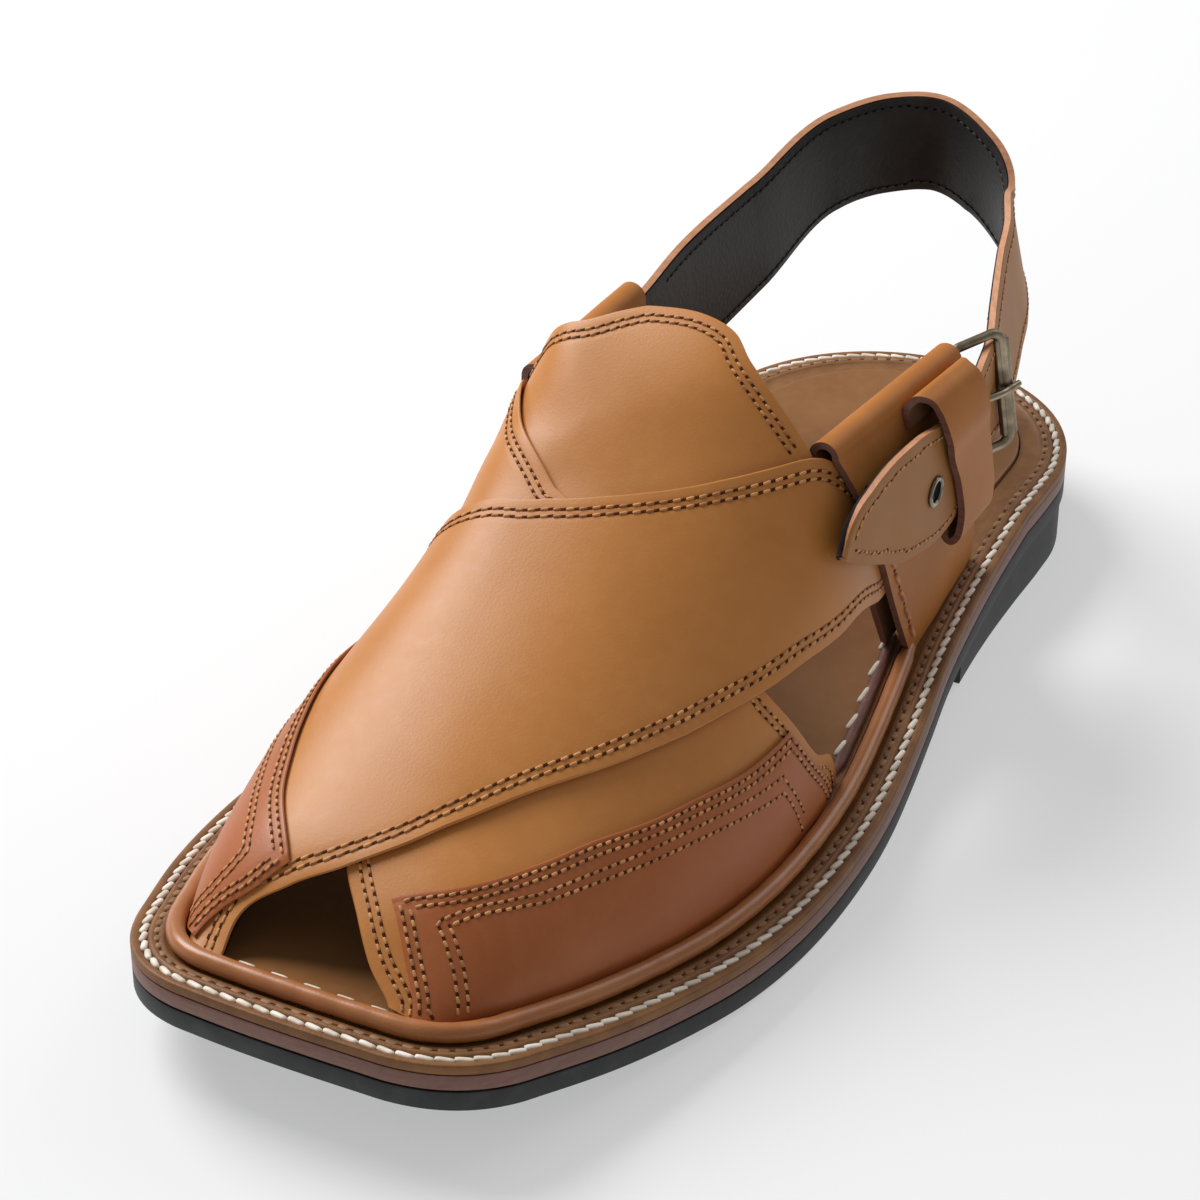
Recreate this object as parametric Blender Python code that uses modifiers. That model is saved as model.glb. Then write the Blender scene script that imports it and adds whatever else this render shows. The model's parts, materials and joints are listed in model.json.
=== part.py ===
"""Peshawari chappal, left shoe, standing empty on its sole.

Metres, +Z up. The toe points to -Y and the lateral side to +X. The origin lies on the floor under the
middle of the heel. The sole is a stack of slabs that share one outline and one underside profile. The
crossed bands, the tongue and the overlays all lie on one last surface, which is worked out from the
sections in LAST. A place on it is given by its station, measured from the back of the heel as a share of
the sole's length, and by how far it lies across, from -1 at the medial feather to 1 at the lateral one.
"""

import math

import bmesh
import bpy
import numpy as np

# Overall sizes of the shoe.
SOLE_LENGTH = 0.292
BALL_WIDTH = 0.1125
HEEL_BACK = 0.036
HEEL_HEIGHT = 0.012
TOE_SPRING = 0.0141
INSTEP_RISE = 0.085

# Layers of the sole, from the ground up.
OUTSOLE_THICKNESS = 0.0043
MIDSOLE_THICKNESS = 0.0034
WELT_THICKNESS = 0.0019
INSOLE_THICKNESS = 0.0028
SEAM_GAP = 0.0003
WELT_WIDTH = 0.0107
HEEL_BREAST = 0.332
HEEL_INSET = 0.0006

# Stations where the underside leaves the ground.
SEAT_STATION = 0.195
BALL_BACK_STATION = 0.572
BALL_FRONT_STATION = 0.640
WAIST_POWER = 1.5
SPRING_POWER = 2.0
PROFILE_STEP = 0.010

# Rand, upper and trimmings.
RAND_RADIUS = 0.0019
RAND_INSET = 0.0085
FEATHER_INSET = 0.0113
UPPER_WALL = 0.0019
LAYER_STEP = 0.0013
ROOT_SINK = 0.0003
SINK_RAMP = 0.012
OVERLAY_WALL = 0.0012
OVERLAY_LIFT = 0.0008
OVERLAY_FOOT = 0.0044

# Quarters, strap and buckle.
SLEEVE_WALL = 0.0015
SLEEVE_SLOT = 0.0036
STRAP_THICKNESS = 0.0024
KEEPER_WALL = 0.0015
KEEPER_PLAY = 0.0012
BUCKLE_PLAY = 0.00055
BUCKLE_CORNER = 0.0026
BUCKLE_WIRE = 0.00105
BUCKLE_BAR = 1.25
PRONG_WIRE = 0.0009
EYELET_RADIUS = 0.0026
EYELET_WIRE = 0.0007

# Side outline of the sole. Columns: station, medial half width, lateral half width (shares of BALL_WIDTH).
SIDES = (
    (0.151, 0.388, 0.377),
    (0.260, 0.398, 0.393),
    (0.363, 0.402, 0.427),
    (0.466, 0.411, 0.484),
    (0.551, 0.430, 0.524),
    (0.637, 0.458, 0.542),
    (0.723, 0.484, 0.531),
    (0.774, 0.482, 0.508),
    (0.825, 0.462, 0.471),
    (0.877, 0.428, 0.428),
    (0.918, 0.389, 0.386),
    (0.945, 0.356, 0.346),
    (0.966, 0.327, 0.311),
)
HEEL_ARC_STATION = 0.151
CORNER_STATION = 0.918
HEEL_ARC_POINTS = 9
SIDE_POINTS = 15
CORNER_POINTS = 6

# Blunt toe. Columns: across (share of BALL_WIDTH), station.
TOE_CORNER_LATERAL = (0.329, 0.986)
TOE_EDGE_LATERAL = (0.160, 0.989)
TOE_EDGE_MEDIAL = (-0.142, 0.997)
TOE_CORNER_MEDIAL = (-0.316, 1.002)

# Sections of the last. Columns: station, crest height (share of INSTEP_RISE), crest shift (share of
# BALL_WIDTH), roundness of the medial side, roundness of the lateral side.
LAST = (
    (0.9555, 0.018, 0.004, 2.27, 2.16),
    (0.9041, 0.215, -0.008, 2.32, 2.14),
    (0.8253, 0.368, -0.023, 2.42, 2.04),
    (0.7397, 0.505, -0.040, 2.50, 2.12),
    (0.6541, 0.645, -0.062, 2.63, 2.14),
    (0.5685, 0.811, -0.086, 3.10, 2.44),
    (0.4829, 0.981, -0.081, 4.40, 3.10),
    (0.3973, 1.007, -0.036, 2.70, 2.62),
    (0.2945, 0.889, 0.011, 2.49, 2.44),
)

# Edges on the last. Columns: station, across.
BAND_A_FRONT = (
    (0.9562, -0.500),
    (0.9380, -0.448),
    (0.9154, -0.209),
    (0.8976, -0.016),
    (0.8740, 0.121),
    (0.8432, 0.217),
    (0.7946, 0.338),
    (0.7442, 0.456),
    (0.7038, 0.529),
    (0.6569, 0.601),
    (0.6192, 0.667),
    (0.5736, 0.743),
    (0.5199, 0.850),
    (0.4583, 0.915),
    (0.4178, 0.918),
)
BAND_A_REAR = (
    (0.5700, -1.000),
    (0.5760, -0.945),
    (0.5921, -0.849),
    (0.6048, -0.746),
    (0.6161, -0.595),
    (0.6229, -0.363),
    (0.6220, -0.220),
    (0.6200, -0.078),
    (0.6115, 0.053),
    (0.6010, 0.133),
    (0.5818, 0.244),
    (0.5575, 0.354),
    (0.5298, 0.473),
    (0.4975, 0.600),
    (0.4866, 0.650),
    (0.4777, 0.690),
)
BAND_A_FOOT = ((0.9562, -0.500), (0.9560, -0.780), (0.9540, -1.000), (0.9000, -1.000), (0.5700, -1.000))
BAND_B_FRONT = (
    (0.9500, 0.480),
    (0.9343, 0.225),
    (0.9188, 0.099),
    (0.9014, -0.004),
    (0.8600, -0.100),
    (0.7740, -0.370),
    (0.6880, -0.620),
    (0.5935, -0.808),
    (0.5469, -0.870),
    (0.4846, -0.924),
    (0.4690, -0.932),
)
BAND_B_REAR = (
    (0.5420, 1.000),
    (0.5510, 0.970),
    (0.5818, 0.904),
    (0.6037, 0.788),
    (0.6192, 0.667),
    (0.6300, 0.450),
    (0.6260, 0.250),
    (0.6117, 0.053),
    (0.5962, -0.079),
    (0.5675, -0.318),
    (0.5305, -0.545),
    (0.5100, -0.675),
    (0.4960, -0.765),
    (0.4850, -0.800),
    (0.4720, -0.830),
)
BAND_B_FOOT = ((0.9500, 0.480), (0.9500, 0.760), (0.9480, 1.000), (0.9000, 1.000), (0.5420, 1.000))
TONGUE_FRONT = ((0.640, -0.620), (0.650, -0.300), (0.650, 0.000), (0.640, 0.300), (0.600, 0.560))
TONGUE_REAR = (
    (0.5080, -0.740),
    (0.5040, -0.640),
    (0.5010, -0.535),
    (0.5020, -0.380),
    (0.4990, -0.240),
    (0.4870, -0.100),
    (0.4760, 0.030),
    (0.4720, 0.130),
    (0.4760, 0.240),
    (0.4900, 0.320),
    (0.4985, 0.424),
    (0.5010, 0.502),
    (0.5020, 0.575),
    (0.5040, 0.640),
)
OVERLAY_MEDIAL_TOP = (
    (0.9041, -0.230),
    (0.8562, -0.394),
    (0.8192, -0.460),
    (0.7850, -0.512),
    (0.7239, -0.632),
    (0.6654, -0.737),
    (0.5950, -0.825),
)
OVERLAY_LATERAL_TOP = (
    (0.9038, 0.192),
    (0.8795, 0.367),
    (0.8308, 0.490),
    (0.7932, 0.549),
    (0.7551, 0.617),
    (0.7082, 0.677),
    (0.6538, 0.742),
    (0.6130, 0.783),
)
OVERLAY_MEDIAL_FRONT = ((0.9041, -0.230), (0.9200, -0.355), (0.9340, -0.540))
OVERLAY_LATERAL_FRONT = ((0.9038, 0.192), (0.9150, 0.320), (0.9310, 0.500))
OVERLAY_MEDIAL_REAR = ((0.5950, -0.825), (0.5850, -0.893), (0.5795, -0.950))
OVERLAY_LATERAL_REAR = ((0.6130, 0.783), (0.5980, 0.870), (0.5620, 0.957))

# Walls of the quarters, at the middle of the sleeve's slot. Columns: height (share of QUARTER_TOP over the
# sole), station of the front edge, station of the rear edge, across of the front edge and of the rear edge
# (shares of BALL_WIDTH).
QUARTER_TOP = 0.0760
QUARTER_MEDIAL = (
    (0.00, 0.459, 0.337, -0.300, -0.295),
    (0.50, 0.481, 0.337, -0.300, -0.304),
    (0.80, 0.491, 0.343, -0.296, -0.304),
    (1.00, 0.497, 0.351, -0.284, -0.297),
)
QUARTER_LATERAL = (
    (0.00, 0.390, 0.267, 0.339, 0.314),
    (0.35, 0.430, 0.284, 0.344, 0.328),
    (0.55, 0.454, 0.315, 0.351, 0.333),
    (0.78, 0.478, 0.317, 0.345, 0.334),
    (0.885, 0.489, 0.319, 0.3345, 0.332),
    (1.00, 0.494, 0.321, 0.299, 0.326),
)
SLEEVE_INNER_END = 0.22
FOLD_POINTS = 7

# Heel strap. Columns: station, across (share of BALL_WIDTH), height of the middle (share of QUARTER_TOP),
# width (share of STRAP_WIDTH), lean of the upper edge outwards in degrees.
STRAP_WIDTH = 0.030
STRAP_NECK = 0.74
STRAP = (
    (0.400, -0.300, 0.770, 0.97, -2.0),
    (0.365, -0.302, 0.775, 0.97, -2.0),
    (0.325, -0.303, 0.790, 1.00, -2.0),
    (0.268, -0.299, 0.835, 1.05, -2.0),
    (0.176, -0.268, 0.920, 1.00, -4.0),
    (0.099, -0.202, 1.062, 0.93, -11.0),
    (0.062, -0.125, 1.092, 0.90, -12.0),
    (0.045, -0.039, 1.097, 0.86, -11.0),
    (0.050, 0.070, 1.040, 0.85, -11.0),
    (0.071, 0.160, 0.937, 0.84, -12.0),
    (0.110, 0.222, 0.900, 0.82, -13.0),
    (0.160, 0.268, 0.880, 0.78, -14.0),
    (0.220, 0.322, 0.850, 0.75, -12.0),
    (0.266, 0.359, 0.832, STRAP_NECK, -7.0),
    (0.295, 0.374, 0.830, STRAP_NECK, -3.0),
    (0.318, 0.383, 0.812, 0.76, 0.0),
    (0.343, 0.390, 0.782, 0.83, 0.0),
    (0.380, 0.393, 0.760, 0.90, 0.0),
    (0.404, 0.395, 0.776, 0.90, 0.0),
    (0.435, 0.395, 0.801, 0.88, 0.0),
    (0.468, 0.392, 0.825, 0.73, 0.0),
    (0.498, 0.392, 0.840, 0.54, 0.0),
    (0.516, 0.391, 0.846, 0.38, 0.0),
    (0.527, 0.390, 0.838, 0.20, 0.0),
    (0.533, 0.390, 0.816, 0.02, 0.0),
)
TIP_LENGTH = 0.030
EYELET_STATION = 0.3985
EYELET_HEIGHT = 0.762

# Keeper loop over the strap's end. Columns: height (share of QUARTER_TOP), distance of its middle from the
# sleeve (share of the clearance that the strap needs), station of the front edge, station of the rear edge.
KEEPER = (
    (0.960, 0.00, 0.411, 0.329),
    (1.005, 0.00, 0.409, 0.331),
    (1.032, 0.30, 0.405, 0.334),
    (1.030, 0.70, 0.400, 0.336),
    (0.995, 1.46, 0.396, 0.335),
    (0.920, 1.66, 0.395, 0.333),
    (0.842, 1.36, 0.385, 0.325),
    (0.724, 1.20, 0.367, 0.310),
    (0.592, 1.14, 0.355, 0.298),
    (0.530, 0.94, 0.353, 0.295),
    (0.507, 0.50, 0.353, 0.294),
    (0.520, 0.14, 0.353, 0.294),
    (0.560, 0.00, 0.353, 0.294),
)

# Buckle: the middle of its hinge bar and of its rear bar (station, share of BALL_WIDTH across, share of
# QUARTER_TOP up) and the lean of both bars. Its width clears the strap's neck.
BUCKLE_HINGE = (0.308, 0.334, 0.826)
BUCKLE_REAR = (0.266, 0.384, 0.838)
BUCKLE_LEAN = -6.0
BUCKLE_WIDTH = STRAP_NECK * STRAP_WIDTH + 2 * (BUCKLE_WIRE + BUCKLE_PLAY)

LEATHER_TAN = (0.56, 0.27, 0.09)
LEATHER_RED = (0.35, 0.12, 0.045)
LEATHER_RAND = (0.35, 0.14, 0.05)
LEATHER_INSOLE = (0.26, 0.13, 0.06)
LEATHER_MIDSOLE = (0.19, 0.09, 0.06)
LEATHER_STRAP = (0.40, 0.22, 0.12)
RUBBER_BLACK = (0.02, 0.02, 0.021)
METAL_ANTIQUE = (0.22, 0.19, 0.14)


def sole_y(station):
    """Y of a station along the sole."""
    return HEEL_BACK - np.asarray(station, float) * SOLE_LENGTH


def station_of(y):
    """Station of a Y position."""
    return (HEEL_BACK - np.asarray(y, float)) / SOLE_LENGTH


def smooth(xs, ys, x):
    """Smooth curve through a table, straight at its two ends."""
    xs = np.asarray(xs, float)
    ys = np.asarray(ys, float)
    x = np.asarray(x, float)
    order = np.argsort(xs)
    xs = xs[order]
    ys = ys[order]
    slopes = np.gradient(ys, xs)
    i = np.clip(np.searchsorted(xs, x) - 1, 0, len(xs) - 2)
    span = xs[i + 1] - xs[i]
    t = (x - xs[i]) / span
    low = np.clip(t, None, 0.0)
    high = np.clip(t - 1.0, 0.0, None)
    t = np.clip(t, 0.0, 1.0)
    curve = (
        (2 * t**3 - 3 * t**2 + 1) * ys[i]
        + (t**3 - 2 * t**2 + t) * span * slopes[i]
        + (3 * t**2 - 2 * t**3) * ys[i + 1]
        + (t**3 - t**2) * span * slopes[i + 1]
    )
    return curve + low * span * slopes[i] + high * span * slopes[i + 1]


def column(table, index):
    """One column of a table of rows."""
    return [row[index] for row in table]


def underside(y):
    """Height of the outsole's underside over the floor."""
    s = station_of(y)
    waist = np.clip((BALL_BACK_STATION - s) / (BALL_BACK_STATION - SEAT_STATION), 0.0, 1.0)
    spring = np.clip((s - BALL_FRONT_STATION) / (1.0 - BALL_FRONT_STATION), 0.0, None)
    return HEEL_HEIGHT * waist**WAIST_POWER + TOE_SPRING * spring**SPRING_POWER


MIDSOLE_BOTTOM = OUTSOLE_THICKNESS + SEAM_GAP
MIDSOLE_TOP = MIDSOLE_BOTTOM + MIDSOLE_THICKNESS
WELT_BOTTOM = MIDSOLE_TOP + SEAM_GAP
WELT_TOP = WELT_BOTTOM + WELT_THICKNESS
INSOLE_TOP = WELT_BOTTOM + INSOLE_THICKNESS
UPPER_FOOT = INSOLE_TOP + SEAM_GAP


def half_width(station, side):
    """Half width of the sole at a station, on the medial (-1) or the lateral (1) side."""
    table = column(SIDES, 1 if side < 0 else 2)
    return smooth(column(SIDES, 0), table, station) * BALL_WIDTH


def feather(y, side):
    """X of the upper's foot at a Y position."""
    s = station_of(y)
    step = 0.004
    slope = (half_width(s + step, side) - half_width(s - step, side)) / (2 * step * SOLE_LENGTH)
    return side * (half_width(s, side) - FEATHER_INSET * np.sqrt(1 + slope**2))


def quadratic(start, control, end, count):
    """Points of a rounded corner, without its two ends."""
    t = np.linspace(0.0, 1.0, count + 2)[1:-1, None]
    return (1 - t) ** 2 * start + 2 * t * (1 - t) * control + t**2 * end


def toe_point(row):
    """Plan position of a row of the toe's table."""
    return np.array([row[0] * BALL_WIDTH, float(sole_y(row[1]))])


def side_line(side):
    """Plan points of one side, from the back of the heel to the toe's corner."""
    angles = np.linspace(0.0, math.pi / 2, HEEL_ARC_POINTS)
    wide = float(half_width(HEEL_ARC_STATION, side))
    arc_x = side * wide * np.sin(angles)
    arc_y = sole_y(HEEL_ARC_STATION * (1 - np.cos(angles)))
    stations = np.linspace(HEEL_ARC_STATION, CORNER_STATION, SIDE_POINTS)[1:]
    line_x = side * half_width(stations, side)
    return np.column_stack([np.append(arc_x, line_x), np.append(arc_y, sole_y(stations))])


def outline(inset=0.0):
    """Closed plan outline of the sole, moved inwards by inset."""
    lateral = side_line(1)
    medial = side_line(-1)
    edge_lateral = toe_point(TOE_EDGE_LATERAL)
    edge_medial = toe_point(TOE_EDGE_MEDIAL)
    points = np.vstack([
        lateral,
        quadratic(lateral[-1], toe_point(TOE_CORNER_LATERAL), edge_lateral, CORNER_POINTS),
        edge_lateral,
        edge_medial,
        quadratic(edge_medial, toe_point(TOE_CORNER_MEDIAL), medial[-1], CORNER_POINTS),
        medial[:0:-1],
    ])
    along = np.roll(points, -1, axis=0) - np.roll(points, 1, axis=0)
    along /= np.linalg.norm(along, axis=1)[:, None]
    inwards = np.column_stack([along[:, 1], -along[:, 0]])
    return points + inset * inwards


def last_sections(y):
    """Crest height, crest X and the two roundnesses of the last at Y."""
    s = station_of(y)
    stations = column(LAST, 0)
    height = smooth(stations, column(LAST, 1), s) * INSTEP_RISE
    crest = smooth(stations, column(LAST, 2), s) * BALL_WIDTH
    medial = smooth(stations, column(LAST, 3), s)
    lateral = smooth(stations, column(LAST, 4), s)
    return np.maximum(height, 0.0002), crest, medial, lateral


def last_base(station, across):
    """Points of the last's surface itself."""
    y = sole_y(station)
    height, crest, medial, lateral = last_sections(y)
    share = np.clip(np.abs(np.sin(across * math.pi / 2)), 0.0, 1.0)
    power = np.where(across < 0, medial, lateral)
    edge = np.where(across < 0, feather(y, -1), feather(y, 1))
    x = crest + share * (edge - crest)
    z = underside(y) + UPPER_FOOT + height * np.maximum(1 - share**power, 0.0) ** (1 / power)
    return np.stack([x, np.broadcast_to(y, x.shape), z], axis=-1)


def last_surface(station, across, rise=0.0):
    """Points that stand out from the last by rise."""
    station = np.asarray(station, float)
    across = np.asarray(across, float)
    ds = 0.002
    dv = 0.006
    along = last_base(station - ds, across) - last_base(station + ds, across)
    over = last_base(station, np.minimum(across + dv, 1.0))
    over = over - last_base(station, np.maximum(across - dv, -1.0))
    normal = np.cross(over, along)
    normal /= np.linalg.norm(normal, axis=-1, keepdims=True)
    return last_base(station, across) + np.asarray(rise)[..., None] * normal


# Lengths that make a step along and a step across the last comparable.
FLAT_SCALE = np.array([SOLE_LENGTH, 0.45 * BALL_WIDTH])


def even_path(rows, count, rounded=True):
    """Evenly spaced points along a table of (station, across) rows."""
    rows = np.asarray(rows, float)
    steps = np.linalg.norm(np.diff(rows * FLAT_SCALE, axis=0), axis=1)
    marks = np.concatenate([[0.0], np.cumsum(steps)])
    at = np.linspace(0.0, marks[-1], count)
    if rounded:
        return np.column_stack([smooth(marks, rows[:, 0], at), smooth(marks, rows[:, 1], at)])
    return np.column_stack([np.interp(at, marks, rows[:, 0]), np.interp(at, marks, rows[:, 1])])


def patch(front, rear, foot, end):
    """Grid that fills four edges: front and rear run from the foot to the end."""
    across = np.linspace(0.0, 1.0, len(foot))[:, None, None]
    along = np.linspace(0.0, 1.0, len(front))[None, :, None]
    ruled = (1 - across) * front[None] + across * rear[None]
    crossed = (1 - along) * foot[:, None] + along * end[:, None]
    corners = (
        (1 - across) * (1 - along) * foot[0]
        + across * (1 - along) * foot[-1]
        + (1 - across) * along * end[0]
        + across * along * end[-1]
    )
    return ruled + crossed - corners


def straight(start, end, count):
    """Evenly spaced points between two (station, across) pairs."""
    return np.linspace(start, end, count)


def outside_distance(points, ring):
    """Distance from each flat point to a closed ring, 0 inside it."""
    flat = points.reshape(-1, 2)
    a = ring
    b = np.roll(ring, -1, axis=0)
    side = b - a
    share = ((flat[:, None] - a) * side).sum(2) / np.maximum((side**2).sum(1), 1e-12)
    foot = a + np.clip(share, 0.0, 1.0)[..., None] * side
    distance = np.linalg.norm(flat[:, None] - foot, axis=2).min(1)
    rises = (a[:, 1] > flat[:, 1, None]) != (b[:, 1] > flat[:, 1, None])
    height = np.where(np.abs(side[:, 1]) < 1e-12, 1e-12, side[:, 1])
    crossing = a[:, 0] + (flat[:, 1, None] - a[:, 1]) / height * side[:, 0]
    inside = (rises & (flat[:, 0, None] < crossing)).sum(1) % 2 == 1
    return np.where(inside, 0.0, distance).reshape(points.shape[:-1])


def band_ring(front, rear):
    """Flat outline of a band, for telling what lies under it."""
    return np.vstack([np.asarray(front), np.asarray(rear)[::-1]]) * FLAT_SCALE


def ramp(distance, length):
    """Soft step from 0 at no distance to 1 at length."""
    t = np.clip(distance / length, 0.0, 1.0)
    return t * t * (3 - 2 * t)


def band_b_rise(grid):
    """Band B lies a layer down under band A, and near the last where it is bare."""
    bare = outside_distance(grid * FLAT_SCALE, band_ring(BAND_A_FRONT, BAND_A_REAR))
    return -LAYER_STEP + (LAYER_STEP - ROOT_SINK) * ramp(bare - 0.002, SINK_RAMP)


def tongue_rise(grid):
    """The tongue lies a layer down under whichever band covers it, and near the last where it is bare."""
    off_a = ramp(outside_distance(grid * FLAT_SCALE, band_ring(BAND_A_FRONT, BAND_A_REAR)) - 0.002, SINK_RAMP)
    off_b = ramp(outside_distance(grid * FLAT_SCALE, band_ring(BAND_B_FRONT, BAND_B_REAR)) - 0.002, SINK_RAMP)
    beside_b = -LAYER_STEP + (LAYER_STEP - ROOT_SINK) * off_a
    under_b = band_b_rise(grid) - LAYER_STEP
    return under_b + (beside_b - under_b) * off_b


def new_collection(name):
    """Collection linked to the scene."""
    made = bpy.data.collections.new(name)
    bpy.context.scene.collection.children.link(made)
    return made


def finish_material(name, colour, roughness, metallic=0.0):
    """Principled material of one piece."""
    material = bpy.data.materials.new(name)
    material.use_nodes = True
    shader = material.node_tree.nodes["Principled BSDF"]
    shader.inputs["Base Color"].default_value = (*colour, 1.0)
    shader.inputs["Roughness"].default_value = roughness
    shader.inputs["Metallic"].default_value = metallic
    material.diffuse_color = (*colour, 1.0)
    return material


def add_object(name, mesh, home, material=None):
    """Object for a mesh, linked to its collection."""
    made = bpy.data.objects.new(name, mesh)
    home.objects.link(made)
    if material:
        mesh.materials.clear()
        mesh.materials.append(material)
    return made


def baked_mesh(source, name):
    """Mesh of an object with its modifiers applied; the object is removed."""
    bpy.context.view_layer.update()
    evaluated = source.evaluated_get(bpy.context.evaluated_depsgraph_get())
    mesh = bpy.data.meshes.new_from_object(evaluated)
    mesh.name = name
    old = source.data
    bpy.data.objects.remove(source)
    if isinstance(old, bpy.types.Mesh):
        bpy.data.meshes.remove(old)
    return mesh


def flat_slab_mesh(name, rings, home):
    """Unit-thick slab of one outline, or of an outline and a hole, with welded caps."""
    curve = bpy.data.curves.new(name, "CURVE")
    curve.dimensions = "2D"
    curve.fill_mode = "BOTH"
    curve.extrude = 0.5
    for ring in rings:
        spline = curve.splines.new("POLY")
        spline.points.add(len(ring) - 1)
        for point, (x, y) in zip(spline.points, ring):
            point.co = (x, y, 0.0, 1.0)
        spline.use_cyclic_u = True
    mesh = baked_mesh(add_object(name, curve, home), name)
    work = bmesh.new()
    work.from_mesh(mesh)
    bmesh.ops.remove_doubles(work, verts=work.verts, dist=1e-5)
    if len(rings) == 1:
        for sign in (-1, 1):
            cap = [face for face in work.faces if face.normal.z * sign > 0.9]
            bmesh.ops.dissolve_faces(work, faces=cap)
    work.to_mesh(mesh)
    work.free()
    return mesh


def profile_stations():
    """Y positions where the slabs are cut, so that they can follow the profile."""
    waist_cuts = round((BALL_BACK_STATION - SEAT_STATION) * SOLE_LENGTH / PROFILE_STEP)
    spring_cuts = round((1.0 - BALL_FRONT_STATION) * SOLE_LENGTH / PROFILE_STEP)
    waist = np.linspace(SEAT_STATION, BALL_BACK_STATION, waist_cuts + 1)
    spring = np.linspace(BALL_FRONT_STATION, 1.0, spring_cuts + 1)[:-1]
    return sole_y(np.concatenate([waist, spring]))


def cut_across(work, y, clear_front=False):
    """Cuts a bmesh at a Y position; clear_front drops what lies toward the toe."""
    every = list(work.verts) + list(work.edges) + list(work.faces)
    return bmesh.ops.bisect_plane(
        work,
        geom=every,
        dist=1e-7,
        plane_co=(0.0, y, 0.0),
        plane_no=(0.0, -1.0, 0.0),
        clear_outer=clear_front,
    )


def sole_layer(name, rings, bottom, top, home, material):
    """Slab of the sole between two heights over the underside."""
    mesh = flat_slab_mesh(name, rings, home)
    work = bmesh.new()
    work.from_mesh(mesh)
    for y in profile_stations():
        cut_across(work, float(y))
    for vert in work.verts:
        lift = top if vert.co.z > 0 else bottom
        vert.co.z = float(underside(vert.co.y)) + lift
    work.to_mesh(mesh)
    work.free()
    return add_object(name, mesh, home, material)


def make_heel(home):
    """Heel block, flat on the floor, under the rear of the outsole."""
    mesh = flat_slab_mesh("heel", [outline(HEEL_INSET)], home)
    work = bmesh.new()
    work.from_mesh(mesh)
    breast = float(sole_y(HEEL_BREAST))
    cut = cut_across(work, breast, clear_front=True)
    rim = [item for item in cut["geom_cut"] if isinstance(item, bmesh.types.BMEdge)]
    bmesh.ops.edgeloop_fill(work, edges=rim)
    for y in profile_stations():
        if y > breast + 0.001:
            cut_across(work, float(y))
    for vert in work.verts:
        vert.co.z = float(underside(vert.co.y)) - SEAM_GAP if vert.co.z > 0 else 0.0
    bmesh.ops.recalc_face_normals(work, faces=work.faces)
    work.to_mesh(mesh)
    work.free()
    return add_object("heel", mesh, home, finish_material("heel_rubber", RUBBER_BLACK, 0.6))


def tube(name, points, radius, home, closed=False, widths=None):
    """Round wire along points, as a mesh with welded caps; widths scales its radius at each point."""
    curve = bpy.data.curves.new(name, "CURVE")
    curve.dimensions = "3D"
    curve.bevel_depth = radius
    curve.bevel_resolution = 2
    curve.use_fill_caps = True
    spline = curve.splines.new("POLY")
    spline.points.add(len(points) - 1)
    for point, place in zip(spline.points, points):
        point.co = (*place, 1.0)
    if widths:
        for point, width in zip(spline.points, widths):
            point.radius = width
    spline.use_cyclic_u = closed
    mesh = baked_mesh(add_object(name, curve, home), name)
    work = bmesh.new()
    work.from_mesh(mesh)
    bmesh.ops.remove_doubles(work, verts=work.verts, dist=1e-6)
    work.to_mesh(mesh)
    work.free()
    return mesh


def quarter_front(side):
    """Y of the front foot of a quarter."""
    return float(sole_y((QUARTER_MEDIAL if side < 0 else QUARTER_LATERAL)[0][1]))


def make_rand(home):
    """Rolled bead round the foot of the upper, from quarter to quarter by way of the toe."""
    ring = outline(RAND_INSET)
    keep = [
        (x, y)
        for x, y in ring
        if y < quarter_front(1 if x > 0 else -1) - 2 * RAND_RADIUS
    ]
    points = [(x, y, float(underside(y)) + WELT_TOP + SEAM_GAP + RAND_RADIUS) for x, y in keep]
    mesh = tube("rand", points, RAND_RADIUS, home)
    return add_object("rand", mesh, home, finish_material("rand_leather", LEATHER_RAND, 0.5))


def sheet_mesh(name, points, wall, home, offset):
    """Open sheet of a grid of points with Solidify; its faces look to the left of rows, outwards."""
    rows, columns = points.shape[:2]
    work = bmesh.new()
    bmesh.ops.create_grid(work, x_segments=columns - 1, y_segments=rows - 1, size=1.0)
    work.verts.ensure_lookup_table()
    for vert, place in zip(work.verts, points.reshape(-1, 3)):
        vert.co = place
    mesh = bpy.data.meshes.new(name)
    work.to_mesh(mesh)
    work.free()
    sheet = add_object(name, mesh, home)
    solid = sheet.modifiers.new("wall", "SOLIDIFY")
    solid.thickness = wall
    solid.offset = offset
    return baked_mesh(sheet, name)


def faces_out(points, centre):
    """Grid of points turned so that its faces look away from a centre."""
    rows, columns = points.shape[:2]
    middle = points[rows // 2, columns // 2]
    along = points[rows // 2, columns // 2 + 1] - middle
    over = points[rows // 2 + 1, columns // 2] - middle
    if np.dot(np.cross(along, over), middle - np.asarray(centre)) < 0:
        return points[:, ::-1]
    return points


def seat_mesh(mesh):
    """Lifts whatever would sink into the insole back onto it."""
    for vert in mesh.vertices:
        floor = float(underside(vert.co.y)) + UPPER_FOOT
        if vert.co.z < floor:
            vert.co.z = floor


def foot_centre(station):
    """A point well inside the shoe, near a station."""
    y = float(sole_y(station))
    return (0.0, y, float(underside(y)) + WELT_TOP)


def shell_from(name, grid, rise, wall, home):
    """Solid shell on the last from a grid of (station, across) and its rise."""
    points = faces_out(last_surface(grid[..., 0], grid[..., 1], rise), foot_centre(grid[..., 0].mean()))
    mesh = sheet_mesh(name, points, wall, home, -1.0)
    seat_mesh(mesh)
    return mesh


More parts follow.
